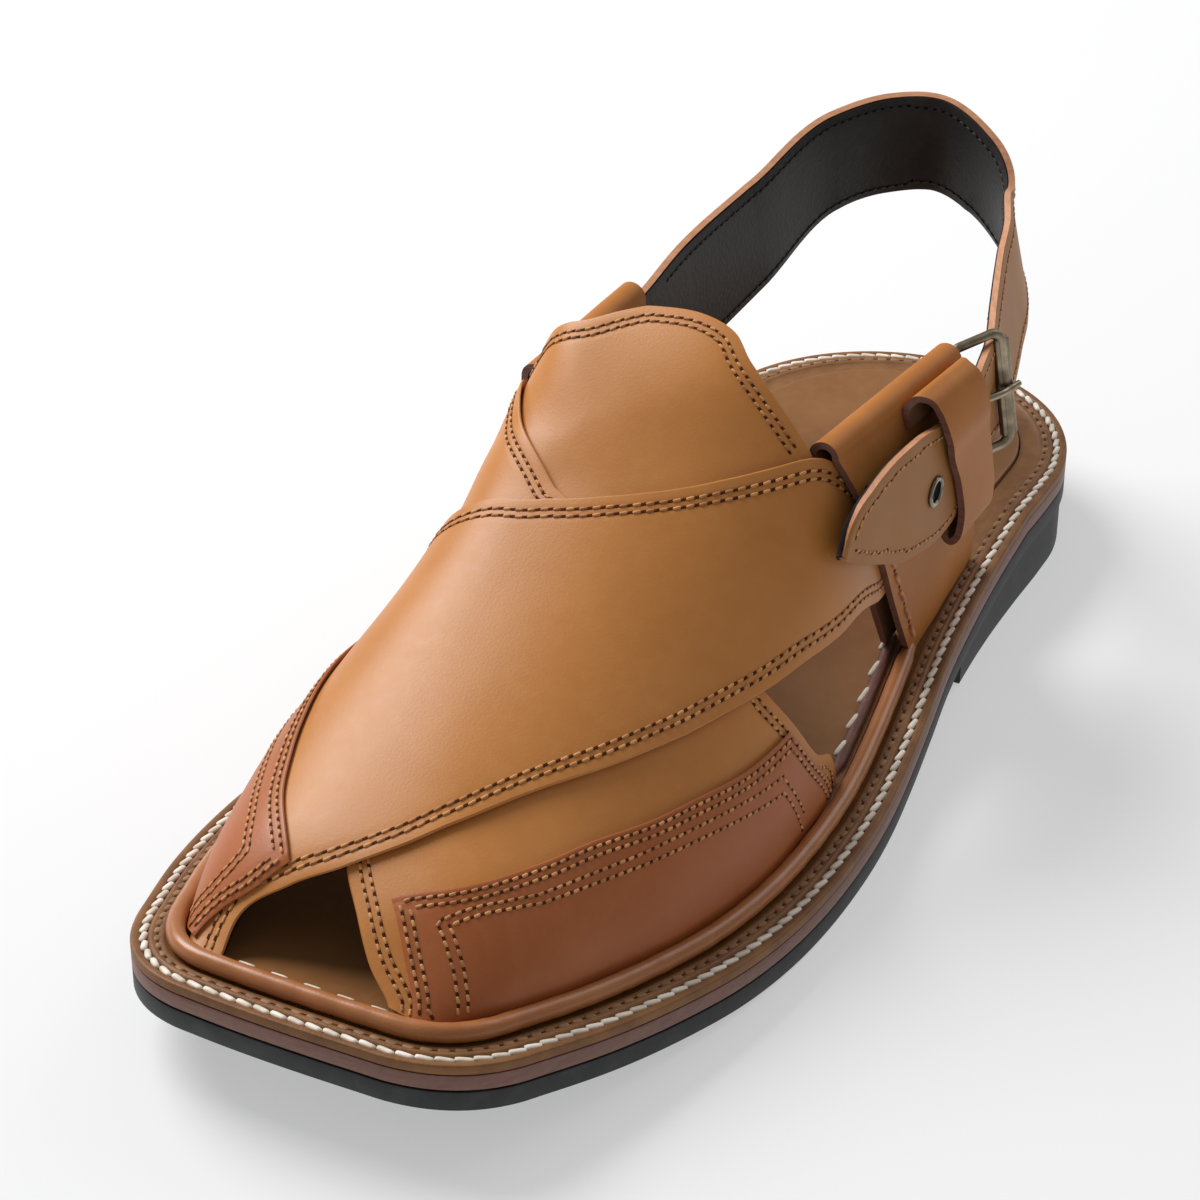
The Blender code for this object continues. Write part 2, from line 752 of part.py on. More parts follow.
def keep_skin(mesh):
    """Drops the closed pockets between joined layers, so that they are filled with leather."""
    work = bmesh.new()
    work.from_mesh(mesh)
    bmesh.ops.triangulate(work, faces=work.faces)
    bmesh.ops.remove_doubles(work, verts=work.verts, dist=6e-6)
    left = set(work.faces)
    islands = []
    while left:
        island = []
        queue = [left.pop()]
        while queue:
            face = queue.pop()
            island.append(face)
            for edge in face.edges:
                for other in edge.link_faces:
                    if other in left:
                        left.remove(other)
                        queue.append(other)
        islands.append(island)
    islands.sort(key=lambda island: -sum(face.calc_area() for face in island))
    for island in islands[1:]:
        bmesh.ops.delete(work, geom=island, context="FACES")
    work.to_mesh(mesh)
    work.free()


def join_solids(name, first, others, home):
    """Union of meshes as one mesh without inner pockets."""
    base = add_object(name, first, home)
    tools = []
    for index, mesh in enumerate(others):
        tool = add_object(f"{name}_tool_{index}", mesh, home)
        tools.append(tool)
        join = base.modifiers.new(f"join_{index}", "BOOLEAN")
        join.operation = "UNION"
        join.solver = "EXACT"
        join.object = tool
    joined = baked_mesh(base, name)
    for tool in tools:
        bpy.data.objects.remove(tool)
    keep_skin(joined)
    return joined


def make_upper(home):
    """Crossed bands and tongue, joined where they cross."""
    ends_a = straight(BAND_A_FRONT[-1], BAND_A_REAR[-1], 11)
    grid_a = patch(
        even_path(BAND_A_FRONT, 26), even_path(BAND_A_REAR, 26), even_path(BAND_A_FOOT, 11, False), ends_a
    )
    ends_b = straight(BAND_B_FRONT[-1], BAND_B_REAR[-1], 11)
    grid_b = patch(
        even_path(BAND_B_FRONT, 26), even_path(BAND_B_REAR, 26), even_path(BAND_B_FOOT, 11, False), ends_b
    )
    tongue = patch(
        straight(TONGUE_FRONT[0], TONGUE_REAR[0], 7),
        straight(TONGUE_FRONT[-1], TONGUE_REAR[-1], 7),
        even_path(TONGUE_FRONT, 15),
        even_path(TONGUE_REAR, 15),
    )
    band_a = shell_from("upper", grid_a, np.zeros(grid_a.shape[:2]), UPPER_WALL, home)
    band_b = shell_from("band_b", grid_b, band_b_rise(grid_b), UPPER_WALL, home)
    tongue_mesh = shell_from("tongue", tongue, tongue_rise(tongue), UPPER_WALL, home)
    mesh = join_solids("upper", band_a, [band_b, tongue_mesh], home)
    return add_object("upper", mesh, home, finish_material("upper_leather", LEATHER_TAN, 0.45))


def overlay_foot(front, rear, side, count):
    """Line just over the rand, where an overlay stops."""
    stations = np.linspace(front, rear, count)
    height, _, medial, lateral = last_sections(sole_y(stations))
    power = medial if side < 0 else lateral
    share = np.clip(OVERLAY_FOOT / height, 0.0, 0.95)
    return np.column_stack([stations, side * np.arcsin((1 - share**power) ** (1 / power)) * 2 / math.pi])


def make_overlay(name, top, front, rear, side, rise, home):
    """Leather panel sewn on the root of a band, on the last's own surface."""
    count = 17
    foot = overlay_foot(front[-1][0], rear[-1][0], side, count)
    front_rows = np.vstack([np.asarray(front)[:-1], foot[0]])
    rear_rows = np.vstack([np.asarray(rear)[:-1], foot[-1]])
    grid = patch(even_path(top, count), foot, even_path(front_rows, 6), even_path(rear_rows, 6))
    grid = grid.transpose(1, 0, 2)
    points = last_surface(grid[..., 0], grid[..., 1], rise(grid) + OVERLAY_LIFT + OVERLAY_WALL)
    points = faces_out(points, foot_centre(grid[..., 0].mean()))
    mesh = sheet_mesh(name, points, OVERLAY_WALL, home, -1.0)
    return add_object(name, mesh, home, finish_material(name + "_leather", LEATHER_RED, 0.5))


def quarter_wall(table, height, along):
    """Middle of a quarter's slot: height from 0 to 1, along from its front edge (0) to its rear (1)."""
    heights = column(table, 0)
    front = smooth(heights, column(table, 1), height)
    rear = smooth(heights, column(table, 2), height)
    front_x = smooth(heights, column(table, 3), height)
    rear_x = smooth(heights, column(table, 4), height)
    y = sole_y(front + along * (rear - front))
    x = (front_x + along * (rear_x - front_x)) * BALL_WIDTH
    foot = underside(y) + UPPER_FOOT
    return np.stack([x, y, foot + height * (QUARTER_TOP - foot)], axis=-1)


def quarter_at(table, station, height):
    """Middle of a quarter's slot under a place given by station and height share of QUARTER_TOP."""
    y = float(sole_y(station))
    foot = float(underside(y)) + UPPER_FOOT
    share = float(np.clip((height * QUARTER_TOP - foot) / (QUARTER_TOP - foot), 0.0, 1.0))
    heights = column(table, 0)
    front = float(smooth(heights, column(table, 1), share))
    rear = float(smooth(heights, column(table, 2), share))
    along = (station - front) / (rear - front)
    return quarter_wall(table, share, along)


def make_quarter(name, table, side, home):
    """Folded sleeve: an outer and an inner sheet, joined by a rolled fold along the top."""
    reach = SLEEVE_SLOT / 2 + SLEEVE_WALL / 2
    along = np.linspace(0.0, 1.0, 9)
    up = np.linspace(0.0, 1.0, 8)
    down = np.linspace(1.0, SLEEVE_INNER_END, 6)
    rows = []
    for height in up:
        rows.append(quarter_wall(table, height + 0 * along, along) + [side * reach, 0.0, 0.0])
    for angle in np.linspace(0.0, math.pi, FOLD_POINTS + 2)[1:-1]:
        turn = [side * reach * math.cos(angle), 0.0, reach * math.sin(angle)]
        rows.append(quarter_wall(table, 1.0 + 0 * along, along) + turn)
    for height in down:
        rows.append(quarter_wall(table, height + 0 * along, along) - [side * reach, 0.0, 0.0])
    points = faces_out(np.array(rows), (side * 1.0, float(sole_y(0.4)), QUARTER_TOP))
    mesh = sheet_mesh(name, points, SLEEVE_WALL, home, 0.0)
    return add_object(name, mesh, home, finish_material(name + "_leather", LEATHER_TAN, 0.5))


def strap_frames(count):
    """Middle, direction across the width and width of the strap along its length; the tip is cut plumb."""
    rows = np.asarray(STRAP, float)
    places = np.column_stack([rows[:, 1] * BALL_WIDTH, sole_y(rows[:, 0]), rows[:, 2] * QUARTER_TOP])
    marks = np.concatenate([[0.0], np.cumsum(np.linalg.norm(np.diff(places, axis=0), axis=1))])
    at = np.linspace(0.0, marks[-1], count)
    middle = np.column_stack([smooth(marks, places[:, axis], at) for axis in range(3)])
    width = smooth(marks, rows[:, 3], at) * STRAP_WIDTH
    lean = np.radians(smooth(marks, rows[:, 4], at))
    run = np.gradient(middle, axis=0)
    run /= np.linalg.norm(run, axis=1)[:, None]
    outwards = np.column_stack([-run[:, 1], run[:, 0], 0 * run[:, 0]])
    outwards /= np.linalg.norm(outwards, axis=1)[:, None]
    if outwards[0, 0] > 0:
        outwards = -outwards
    upwards = np.cross(run, outwards)
    upwards *= np.sign(upwards[:, 2:3])
    upwards /= np.linalg.norm(upwards, axis=1)[:, None]
    plumb = 1 - ramp(marks[-1] - at, TIP_LENGTH)
    upwards += plumb[:, None] * (np.array([0.0, 0.0, 1.0]) - upwards)
    upwards /= np.linalg.norm(upwards, axis=1)[:, None]
    across = np.cos(lean)[:, None] * upwards + np.sin(lean)[:, None] * outwards
    return middle, across, np.maximum(width, 0.0012), outwards


def make_strap(home):
    """Heel strap, from the medial sleeve round the heel and through the buckle to its pointed end."""
    middle, across, width, _ = strap_frames(88)
    shares = np.linspace(-0.5, 0.5, 4)
    points = middle[None] + shares[:, None, None] * (width[:, None] * across)[None]
    mesh = sheet_mesh("heel_strap", points, STRAP_THICKNESS, home, 0.0)
    return add_object("heel_strap", mesh, home, finish_material("strap_leather", LEATHER_STRAP, 0.5))


def make_keeper(home):
    """Wide loop over the strap's end, from the sleeve's top down to below the strap."""
    seat = SLEEVE_SLOT / 2 + SLEEVE_WALL + SEAM_GAP + KEEPER_WALL / 2
    clearance = STRAP_THICKNESS + KEEPER_PLAY
    rows = []
    for height, reach, front, rear in KEEPER:
        row = []
        for station in np.linspace(front, rear, 5):
            place = quarter_at(QUARTER_LATERAL, float(station), height)
            row.append((place[0] + seat + reach * clearance, float(sole_y(station)), height * QUARTER_TOP))
        rows.append(row)
    points = faces_out(np.array(rows), foot_centre(0.35))
    mesh = sheet_mesh("keeper_loop", points, KEEPER_WALL, home, 0.0)
    return add_object("keeper_loop", mesh, home, finish_material("keeper_leather", LEATHER_TAN, 0.5))


def buckle_point(row):
    """Position of a row of the buckle's places."""
    return np.array([row[1] * BALL_WIDTH, float(sole_y(row[0])), row[2] * QUARTER_TOP])


def buckle_axes():
    """Hinge, vector from the hinge to the rear bar, direction along the bars, and direction outwards."""
    hinge = buckle_point(BUCKLE_HINGE)
    run = buckle_point(BUCKLE_REAR) - hinge
    lean = math.radians(BUCKLE_LEAN)
    bar = np.array([math.sin(lean), 0.0, math.cos(lean)])
    bar -= np.dot(bar, run) * run / np.dot(run, run)
    bar /= np.linalg.norm(bar)
    outwards = np.cross(run, bar)
    return hinge, run, bar, outwards * np.sign(outwards[0]) / np.linalg.norm(outwards)


def make_buckle(home):
    """Frame with rounded corners round the strap, and the prong that crosses its rear bar."""
    hinge, run, bar, outwards = buckle_axes()
    length = np.linalg.norm(run)
    ahead = run / length
    points = []
    widths = []
    for along, up in ((1, 1), (1, -1), (-1, -1), (-1, 1)):
        centre = hinge + run / 2 + along * (length / 2 - BUCKLE_CORNER) * ahead
        centre = centre + up * (BUCKLE_WIDTH / 2 - BUCKLE_CORNER) * bar
        for step in range(4):
            angle = math.pi / 2 * step / 3
            if along == up:
                first, second = math.sin(angle), math.cos(angle)
            else:
                first, second = math.cos(angle), math.sin(angle)
            points.append(centre + BUCKLE_CORNER * (along * first * ahead + up * second * bar))
            widths.append(BUCKLE_BAR if along * first > 0.9 else 1.0)
    metal = finish_material("buckle_metal", METAL_ANTIQUE, 0.35, 1.0)
    frame = tube("buckle_frame", points, BUCKLE_WIRE, home, closed=True, widths=widths)
    add_object("buckle_frame", frame, home, metal)
    rest = BUCKLE_BAR * BUCKLE_WIRE + PRONG_WIRE + SEAM_GAP
    prong_line = [
        hinge + 0.52 * run + (rest + 0.0016) * outwards,
        hinge + 0.80 * run + (rest + 0.0009) * outwards,
        hinge + 1.00 * run + rest * outwards,
        hinge + 1.22 * run + rest * outwards,
    ]
    prong = tube("buckle_prong", prong_line, PRONG_WIRE, home, widths=(1.0, 1.0, 0.95, 0.75))
    add_object("buckle_prong", prong, home, finish_material("prong_metal", METAL_ANTIQUE, 0.35, 1.0))


def make_eyelet(home):
    """Small metal ring on the strap's pointed end."""
    middle, across, _, outwards = strap_frames(256)
    target = np.array([float(sole_y(EYELET_STATION)), EYELET_HEIGHT * QUARTER_TOP])
    late = len(middle) // 2
    nearest = late + int(np.argmin(np.abs(middle[late:, 1] - target[0])))
    normal = outwards[nearest] * np.sign(outwards[nearest][0])
    up = across[nearest]
    along = np.cross(normal, up)
    seat = middle[nearest] + (STRAP_THICKNESS / 2 + SEAM_GAP + EYELET_WIRE) * normal
    centre = seat + (target[1] - seat[2]) * up
    angles = np.linspace(0.0, 2 * math.pi, 19)[:-1]
    points = [centre + EYELET_RADIUS * (math.cos(a) * up + math.sin(a) * along) for a in angles]
    mesh = tube("strap_eyelet", points, EYELET_WIRE, home, closed=True)
    return add_object("strap_eyelet", mesh, home, finish_material("eyelet_metal", METAL_ANTIQUE, 0.3, 1.0))


def make_sole(home):
    """Outsole, heel, midsole, welt and insole."""
    rubber = finish_material("outsole_rubber", RUBBER_BLACK, 0.6)
    midsole = finish_material("midsole_leather", LEATHER_MIDSOLE, 0.55)
    welt = finish_material("welt_leather", LEATHER_RAND, 0.6)
    insole = finish_material("insole_leather", LEATHER_INSOLE, 0.55)
    sole_layer("outsole", [outline()], 0.0, OUTSOLE_THICKNESS, home, rubber)
    make_heel(home)
    sole_layer("midsole", [outline()], MIDSOLE_BOTTOM, MIDSOLE_TOP, home, midsole)
    sole_layer("welt", [outline(), outline(WELT_WIDTH)], WELT_BOTTOM, WELT_TOP, home, welt)
    sole_layer("insole", [outline(WELT_WIDTH + SEAM_GAP)], WELT_BOTTOM, INSOLE_TOP, home, insole)


def shade(home):
    """Smooth shading with sharp edges kept."""
    for item in home.objects:
        item.data.shade_smooth()
        item.data.set_sharp_from_angle(angle=math.radians(40))


def main():
    """Builds the shoe."""
    for item in list(bpy.data.objects):
        bpy.data.objects.remove(item)
    home = new_collection("peshawari_chappal")
    make_sole(home)
    make_rand(home)
    make_upper(home)
    make_overlay(
        "overlay_medial",
        OVERLAY_MEDIAL_TOP,
        OVERLAY_MEDIAL_FRONT,
        OVERLAY_MEDIAL_REAR,
        -1,
        lambda grid: np.zeros(grid.shape[:2]),
        home,
    )
    make_overlay(
        "overlay_lateral",
        OVERLAY_LATERAL_TOP,
        OVERLAY_LATERAL_FRONT,
        OVERLAY_LATERAL_REAR,
        1,
        band_b_rise,
        home,
    )
    make_quarter("quarter_medial", QUARTER_MEDIAL, -1, home)
    make_quarter("quarter_lateral", QUARTER_LATERAL, 1, home)
    make_strap(home)
    make_keeper(home)
    make_buckle(home)
    make_eyelet(home)
    shade(home)


main()
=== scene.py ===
"""Looks of a left peshawari chappal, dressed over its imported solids.

Metres, +Z up, the toe to -Y and the lateral side to +X, the origin on the floor under the heel. The crossed
bands, the tongue and the panels are laid again on the same last as the solids, with finer grids, turned
edges and sewn rows. A place on the last is a station, measured from the back of the heel as a share of the
sole's length, and how far it lies across, from -1 at the medial feather to 1 at the lateral one.
"""

import json
import logging
import math
from dataclasses import dataclass, field
from enum import Enum
from typing import Callable, Optional, Sequence

import bpy
import numpy as np
from mathutils import Matrix, Vector

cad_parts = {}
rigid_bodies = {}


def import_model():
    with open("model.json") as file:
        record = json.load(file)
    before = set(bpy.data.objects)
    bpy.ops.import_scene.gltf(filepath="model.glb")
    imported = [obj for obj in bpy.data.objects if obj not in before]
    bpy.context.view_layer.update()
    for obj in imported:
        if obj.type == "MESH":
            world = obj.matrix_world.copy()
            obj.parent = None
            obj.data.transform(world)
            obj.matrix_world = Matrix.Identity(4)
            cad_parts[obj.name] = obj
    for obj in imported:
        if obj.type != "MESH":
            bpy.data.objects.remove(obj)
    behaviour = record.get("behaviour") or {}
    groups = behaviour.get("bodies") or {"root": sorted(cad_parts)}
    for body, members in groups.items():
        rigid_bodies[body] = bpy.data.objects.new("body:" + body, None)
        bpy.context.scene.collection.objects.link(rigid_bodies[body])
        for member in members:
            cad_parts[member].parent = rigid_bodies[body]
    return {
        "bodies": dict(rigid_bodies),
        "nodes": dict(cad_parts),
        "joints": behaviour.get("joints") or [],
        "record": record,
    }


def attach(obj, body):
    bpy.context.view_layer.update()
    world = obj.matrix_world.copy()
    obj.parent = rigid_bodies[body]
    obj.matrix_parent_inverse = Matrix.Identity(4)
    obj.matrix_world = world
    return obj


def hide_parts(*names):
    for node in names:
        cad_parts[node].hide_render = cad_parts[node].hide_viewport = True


LOG = logging.getLogger("peshawari_chappal")
MM = 0.001
BODY = "root"
Array = np.ndarray
Rows = Sequence[Sequence[float]]
Row = tuple[Array, Array]
Rise = Callable[[Array], Array]
Piece, Material, Materials = bpy.types.Object, bpy.types.Material, Sequence[bpy.types.Material]
Tree, Node, Socket = bpy.types.NodeTree, bpy.types.Node, bpy.types.NodeSocket


class Side(Enum):
    """The two sides of a left shoe, with the sign of X."""

    MEDIAL = -1
    LATERAL = 1


class Face(Enum):
    """Material slots of a piece of leather."""

    GRAIN = 0
    EDGE = 1
    FLESH = 2


# Sizes that several pieces share, as in the solids.
SOLE_LENGTH = 0.292
BALL_WIDTH = 0.1125
HEEL_BACK = 0.036
HEEL_HEIGHT = 0.012
TOE_SPRING = 0.0141
INSTEP_RISE = 0.085
WELT_TOP = 0.0102
UPPER_FOOT = 0.0114
SEAM_GAP = 0.0003
SEAT_STATION = 0.195
BALL_BACK_STATION = 0.572
BALL_FRONT_STATION = 0.640
WAIST_POWER = 1.5
SPRING_POWER = 2.0
FEATHER_INSET = 0.0113
LAYER_STEP = 0.0013
ROOT_SINK = 0.0003
SINK_START = 0.002
SINK_RAMP = 0.012
PANEL_RISE = 0.0011
QUARTER_TOP = 0.0760
STRAP_NECK = 0.74

# Side outline of the sole. Columns: station, medial half width, lateral half width (shares of BALL_WIDTH).
SIDES: Rows = (
    (0.151, 0.388, 0.377), (0.260, 0.398, 0.393), (0.363, 0.402, 0.427), (0.466, 0.411, 0.484),
    (0.551, 0.430, 0.524), (0.637, 0.458, 0.542), (0.723, 0.484, 0.531), (0.774, 0.482, 0.508),
    (0.825, 0.462, 0.471), (0.877, 0.428, 0.428), (0.918, 0.389, 0.386), (0.945, 0.356, 0.346),
    (0.966, 0.327, 0.311),
)
HEEL_ARC_STATION = 0.151
CORNER_STATION = 0.918

# Blunt toe. Columns: across (share of BALL_WIDTH), station.
TOE_CORNER_LATERAL = (0.329, 0.986)
TOE_EDGE_LATERAL = (0.160, 0.989)
TOE_EDGE_MEDIAL = (-0.142, 0.997)
TOE_CORNER_MEDIAL = (-0.316, 1.002)

# Sections of the last. Columns: station, crest height, crest shift, medial roundness, lateral roundness.
LAST: Rows = (
    (0.9555, 0.018, 0.004, 2.27, 2.16), (0.9041, 0.215, -0.008, 2.32, 2.14),
    (0.8253, 0.368, -0.023, 2.42, 2.04), (0.7397, 0.505, -0.040, 2.50, 2.12),
    (0.6541, 0.645, -0.062, 2.63, 2.14), (0.5685, 0.811, -0.086, 3.10, 2.44),
    (0.4829, 0.981, -0.081, 4.40, 3.10), (0.3973, 1.007, -0.036, 2.70, 2.62),
    (0.2945, 0.889, 0.011, 2.49, 2.44),
)

# Edges on the last. Columns: station, across.
BAND_A_FRONT: Rows = (
    (0.9562, -0.500), (0.9380, -0.448), (0.9154, -0.209), (0.8976, -0.016), (0.8740, 0.121),
    (0.8432, 0.217), (0.7946, 0.338), (0.7442, 0.456), (0.7038, 0.529), (0.6569, 0.601),
    (0.6192, 0.667), (0.5736, 0.743), (0.5199, 0.850), (0.4583, 0.915), (0.4178, 0.918),
)
BAND_A_REAR: Rows = (
    (0.5700, -1.000), (0.5760, -0.945), (0.5921, -0.849), (0.6048, -0.746), (0.6161, -0.595),
    (0.6229, -0.363), (0.6220, -0.220), (0.6200, -0.078), (0.6115, 0.053), (0.6010, 0.133),
    (0.5818, 0.244), (0.5575, 0.354), (0.5298, 0.473), (0.4975, 0.600), (0.4866, 0.650), (0.4777, 0.690),
)
BAND_A_FOOT: Rows = (
    (0.9562, -0.500), (0.9560, -0.780), (0.9540, -1.000), (0.9000, -1.000), (0.5700, -1.000),
)
BAND_B_FRONT: Rows = (
    (0.9500, 0.480), (0.9343, 0.225), (0.9188, 0.099), (0.9014, -0.004), (0.8600, -0.100),
    (0.7740, -0.370), (0.6880, -0.620), (0.5935, -0.808), (0.5469, -0.870), (0.4846, -0.924),
    (0.4690, -0.932),
)
BAND_B_REAR: Rows = (
    (0.5420, 1.000), (0.5510, 0.970), (0.5818, 0.904), (0.6037, 0.788), (0.6192, 0.667),
    (0.6300, 0.450), (0.6260, 0.250), (0.6117, 0.053), (0.5962, -0.079), (0.5675, -0.318),
    (0.5305, -0.545), (0.5100, -0.675), (0.4960, -0.765), (0.4850, -0.800), (0.4720, -0.830),
)
BAND_B_FOOT: Rows = (
    (0.9500, 0.480), (0.9500, 0.760), (0.9480, 1.000), (0.9000, 1.000), (0.5420, 1.000),
)
TONGUE_FRONT: Rows = ((0.640, -0.620), (0.650, -0.300), (0.650, 0.000), (0.640, 0.300), (0.600, 0.560))
TONGUE_REAR: Rows = (
    (0.5080, -0.740), (0.5040, -0.640), (0.5010, -0.535), (0.5020, -0.380), (0.4990, -0.240),
    (0.4870, -0.100), (0.4760, 0.030), (0.4720, 0.130), (0.4760, 0.240), (0.4900, 0.320),
    (0.4985, 0.424), (0.5010, 0.502), (0.5020, 0.575), (0.5040, 0.640),
)
OVERLAY_MEDIAL_TOP: Rows = (
    (0.9041, -0.230), (0.8562, -0.394), (0.8192, -0.460), (0.7850, -0.512), (0.7239, -0.632),
    (0.6654, -0.737), (0.5950, -0.825),
)
OVERLAY_LATERAL_TOP: Rows = (
    (0.9038, 0.192), (0.8795, 0.367), (0.8308, 0.490), (0.7932, 0.549), (0.7551, 0.617),
    (0.7082, 0.677), (0.6538, 0.742), (0.6130, 0.783),
)
OVERLAY_MEDIAL_FRONT: Rows = (
    (0.9041, -0.230), (0.9198, -0.356), (0.9313, -0.520), (0.9430, -0.680), (0.9500, -0.850),
)
OVERLAY_LATERAL_FRONT: Rows = (
    (0.9038, 0.192), (0.9241, 0.358), (0.9409, 0.564), (0.9490, 0.700), (0.9500, 0.850),
)
OVERLAY_MEDIAL_REAR: Rows = ((0.5950, -0.825), (0.5850, -0.893), (0.5795, -0.950))
OVERLAY_LATERAL_REAR: Rows = ((0.6130, 0.783), (0.5980, 0.870), (0.5620, 0.957))

# Inner double row on each panel. Columns: station, across.
PANEL_ROW_LATERAL: Rows = (
    (0.9290, 0.880), (0.9210, 0.700), (0.9110, 0.540), (0.9018, 0.416), (0.8700, 0.523), (0.8494, 0.578),
    (0.8050, 0.641), (0.7730, 0.684), (0.7380, 0.725), (0.6900, 0.778), (0.6380, 0.838), (0.6280, 0.900),
    (0.6170, 0.965),
)
PANEL_ROW_MEDIAL: Rows = (
    (0.9330, -0.880), (0.9214, -0.640), (0.9110, -0.525), (0.9010, -0.455), (0.8760, -0.500),
    (0.8538, -0.549), (0.7757, -0.692), (0.7079, -0.781), (0.6305, -0.875), (0.6200, -0.960),
)

# Walls of the quarters, mid slot. Columns: height share, front and rear station, front and rear across.
QUARTER_MEDIAL: Rows = (
    (0.00, 0.459, 0.337, -0.300, -0.295), (0.50, 0.481, 0.337, -0.300, -0.304),
    (0.80, 0.491, 0.343, -0.296, -0.304), (1.00, 0.497, 0.351, -0.284, -0.297),
)
QUARTER_LATERAL: Rows = (
    (0.00, 0.390, 0.267, 0.339, 0.314), (0.35, 0.430, 0.284, 0.344, 0.328),
    (0.55, 0.454, 0.315, 0.351, 0.333), (0.78, 0.478, 0.317, 0.345, 0.334),
    (0.885, 0.489, 0.319, 0.3345, 0.332), (1.00, 0.494, 0.321, 0.299, 0.326),
)

# Heel strap. Columns: station, across, height of the middle, width (all shares), outward lean in degrees.
STRAP: Rows = (
    (0.400, -0.300, 0.770, 0.97, -2.0), (0.365, -0.302, 0.775, 0.97, -2.0),
    (0.325, -0.303, 0.790, 1.00, -2.0), (0.268, -0.299, 0.835, 1.05, -2.0),
    (0.176, -0.268, 0.920, 1.00, -4.0), (0.099, -0.202, 1.062, 0.93, -11.0),
    (0.062, -0.125, 1.092, 0.90, -12.0), (0.045, -0.039, 1.097, 0.86, -11.0),
    (0.050, 0.070, 1.040, 0.85, -11.0), (0.071, 0.160, 0.937, 0.84, -12.0),
    (0.110, 0.222, 0.900, 0.82, -13.0), (0.160, 0.268, 0.880, 0.78, -14.0),
    (0.220, 0.322, 0.850, 0.75, -12.0), (0.266, 0.359, 0.832, STRAP_NECK, -7.0),
    (0.295, 0.374, 0.830, STRAP_NECK, -3.0), (0.318, 0.383, 0.812, 0.76, 0.0),
    (0.343, 0.390, 0.782, 0.83, 0.0), (0.380, 0.393, 0.760, 0.90, 0.0),
    (0.404, 0.395, 0.776, 0.90, 0.0), (0.435, 0.395, 0.801, 0.88, 0.0),
    (0.468, 0.392, 0.825, 0.73, 0.0), (0.498, 0.392, 0.840, 0.54, 0.0),
    (0.516, 0.391, 0.846, 0.38, 0.0), (0.527, 0.390, 0.838, 0.20, 0.0),
    (0.533, 0.390, 0.816, 0.02, 0.0),
)

# Keeper loop. Columns: height share, distance from the sleeve as a share of its clearance, two stations.
KEEPER: Rows = (
    (0.960, 0.00, 0.411, 0.329), (1.005, 0.00, 0.409, 0.331), (1.032, 0.30, 0.405, 0.334),
    (1.030, 0.70, 0.400, 0.336), (0.995, 1.46, 0.396, 0.335), (0.920, 1.66, 0.395, 0.333),
    (0.842, 1.36, 0.385, 0.325), (0.724, 1.20, 0.367, 0.310), (0.592, 1.14, 0.355, 0.298),
    (0.530, 0.94, 0.353, 0.295), (0.507, 0.50, 0.353, 0.294), (0.520, 0.14, 0.353, 0.294),
    (0.560, 0.00, 0.353, 0.294),
)


def column(table: Rows, index: int) -> list[float]:
    """One column of a table of rows."""
    return [row[index] for row in table]


def smooth(xs: Sequence[float], ys: Sequence[float], x: Array) -> Array:
    """Smooth curve through a table, straight at its two ends.

    Args:
        xs: Places of the table's rows.
        ys: Values there.
        x: Places to read.

    Returns:
        Values of the curve at x.
    """
    xs, ys, x = np.asarray(xs, float), np.asarray(ys, float), np.asarray(x, float)
    order = np.argsort(xs)
    xs, ys = xs[order], ys[order]
    slopes = np.gradient(ys, xs)
    i = np.clip(np.searchsorted(xs, x) - 1, 0, len(xs) - 2)
    span = xs[i + 1] - xs[i]
    t = (x - xs[i]) / span
    low, high = np.clip(t, None, 0.0), np.clip(t - 1.0, 0.0, None)
    t = np.clip(t, 0.0, 1.0)
    curve = (
        (2 * t**3 - 3 * t**2 + 1) * ys[i]
        + (t**3 - 2 * t**2 + t) * span * slopes[i]
        + (3 * t**2 - 2 * t**3) * ys[i + 1]
        + (t**3 - t**2) * span * slopes[i + 1]
    )
    return curve + low * span * slopes[i] + high * span * slopes[i + 1]


def unit(vectors: Array) -> Array:
    """Vectors scaled to length 1."""
    return vectors / np.maximum(np.linalg.norm(vectors, axis=-1, keepdims=True), 1e-12)


def marks_of(points: Array) -> Array:
    """Length along a line of points, from 0 at its start."""
    return np.concatenate([[0.0], np.cumsum(np.linalg.norm(np.diff(points, axis=0), axis=1))])


def resample(points: Array, at: Array, rounded: bool = True) -> Array:
    """Points at given shares of a line's length.

    Args:
        points: The line, one row per point.
        at: Shares from 0 to 1.
        rounded: Whether the corners are rounded.

    Returns:
        One row per share.
    """
    marks = marks_of(points)
    where = np.asarray(at) * marks[-1]
    read = smooth if rounded else (lambda xs, ys, x: np.interp(x, xs, ys))
    return np.column_stack([read(marks, points[:, axis], where) for axis in range(points.shape[1])])


def read_along(marks: Array, rows: Array, at: Array) -> Array:
    """Rows of three values, read in straight steps between their marks."""
    return np.column_stack([np.interp(at, marks, rows[:, axis]) for axis in range(3)])


def facing(points: Array, row: int, line: int, way: Sequence[float]) -> Array:
    """Turns a grid over where its faces would look against a direction.

    Args:
        points: Rows and columns of places.
        row: Row of the place where it is tested.
        line: Column of that place.
        way: The direction there.

    Returns:
        The grid, as it was or with its columns reversed.
    """
    middle = points[row, line]
    normal = np.cross(points[row, line + 1] - middle, points[row + 1, line] - middle)
    return points[:, ::-1] if np.dot(normal, way) < 0 else points


def ramp(distance: Array, length: float) -> Array:
    """Soft step from 0 at no distance to 1 at length."""
    t = np.clip(np.asarray(distance) / length, 0.0, 1.0)
    return t * t * (3 - 2 * t)


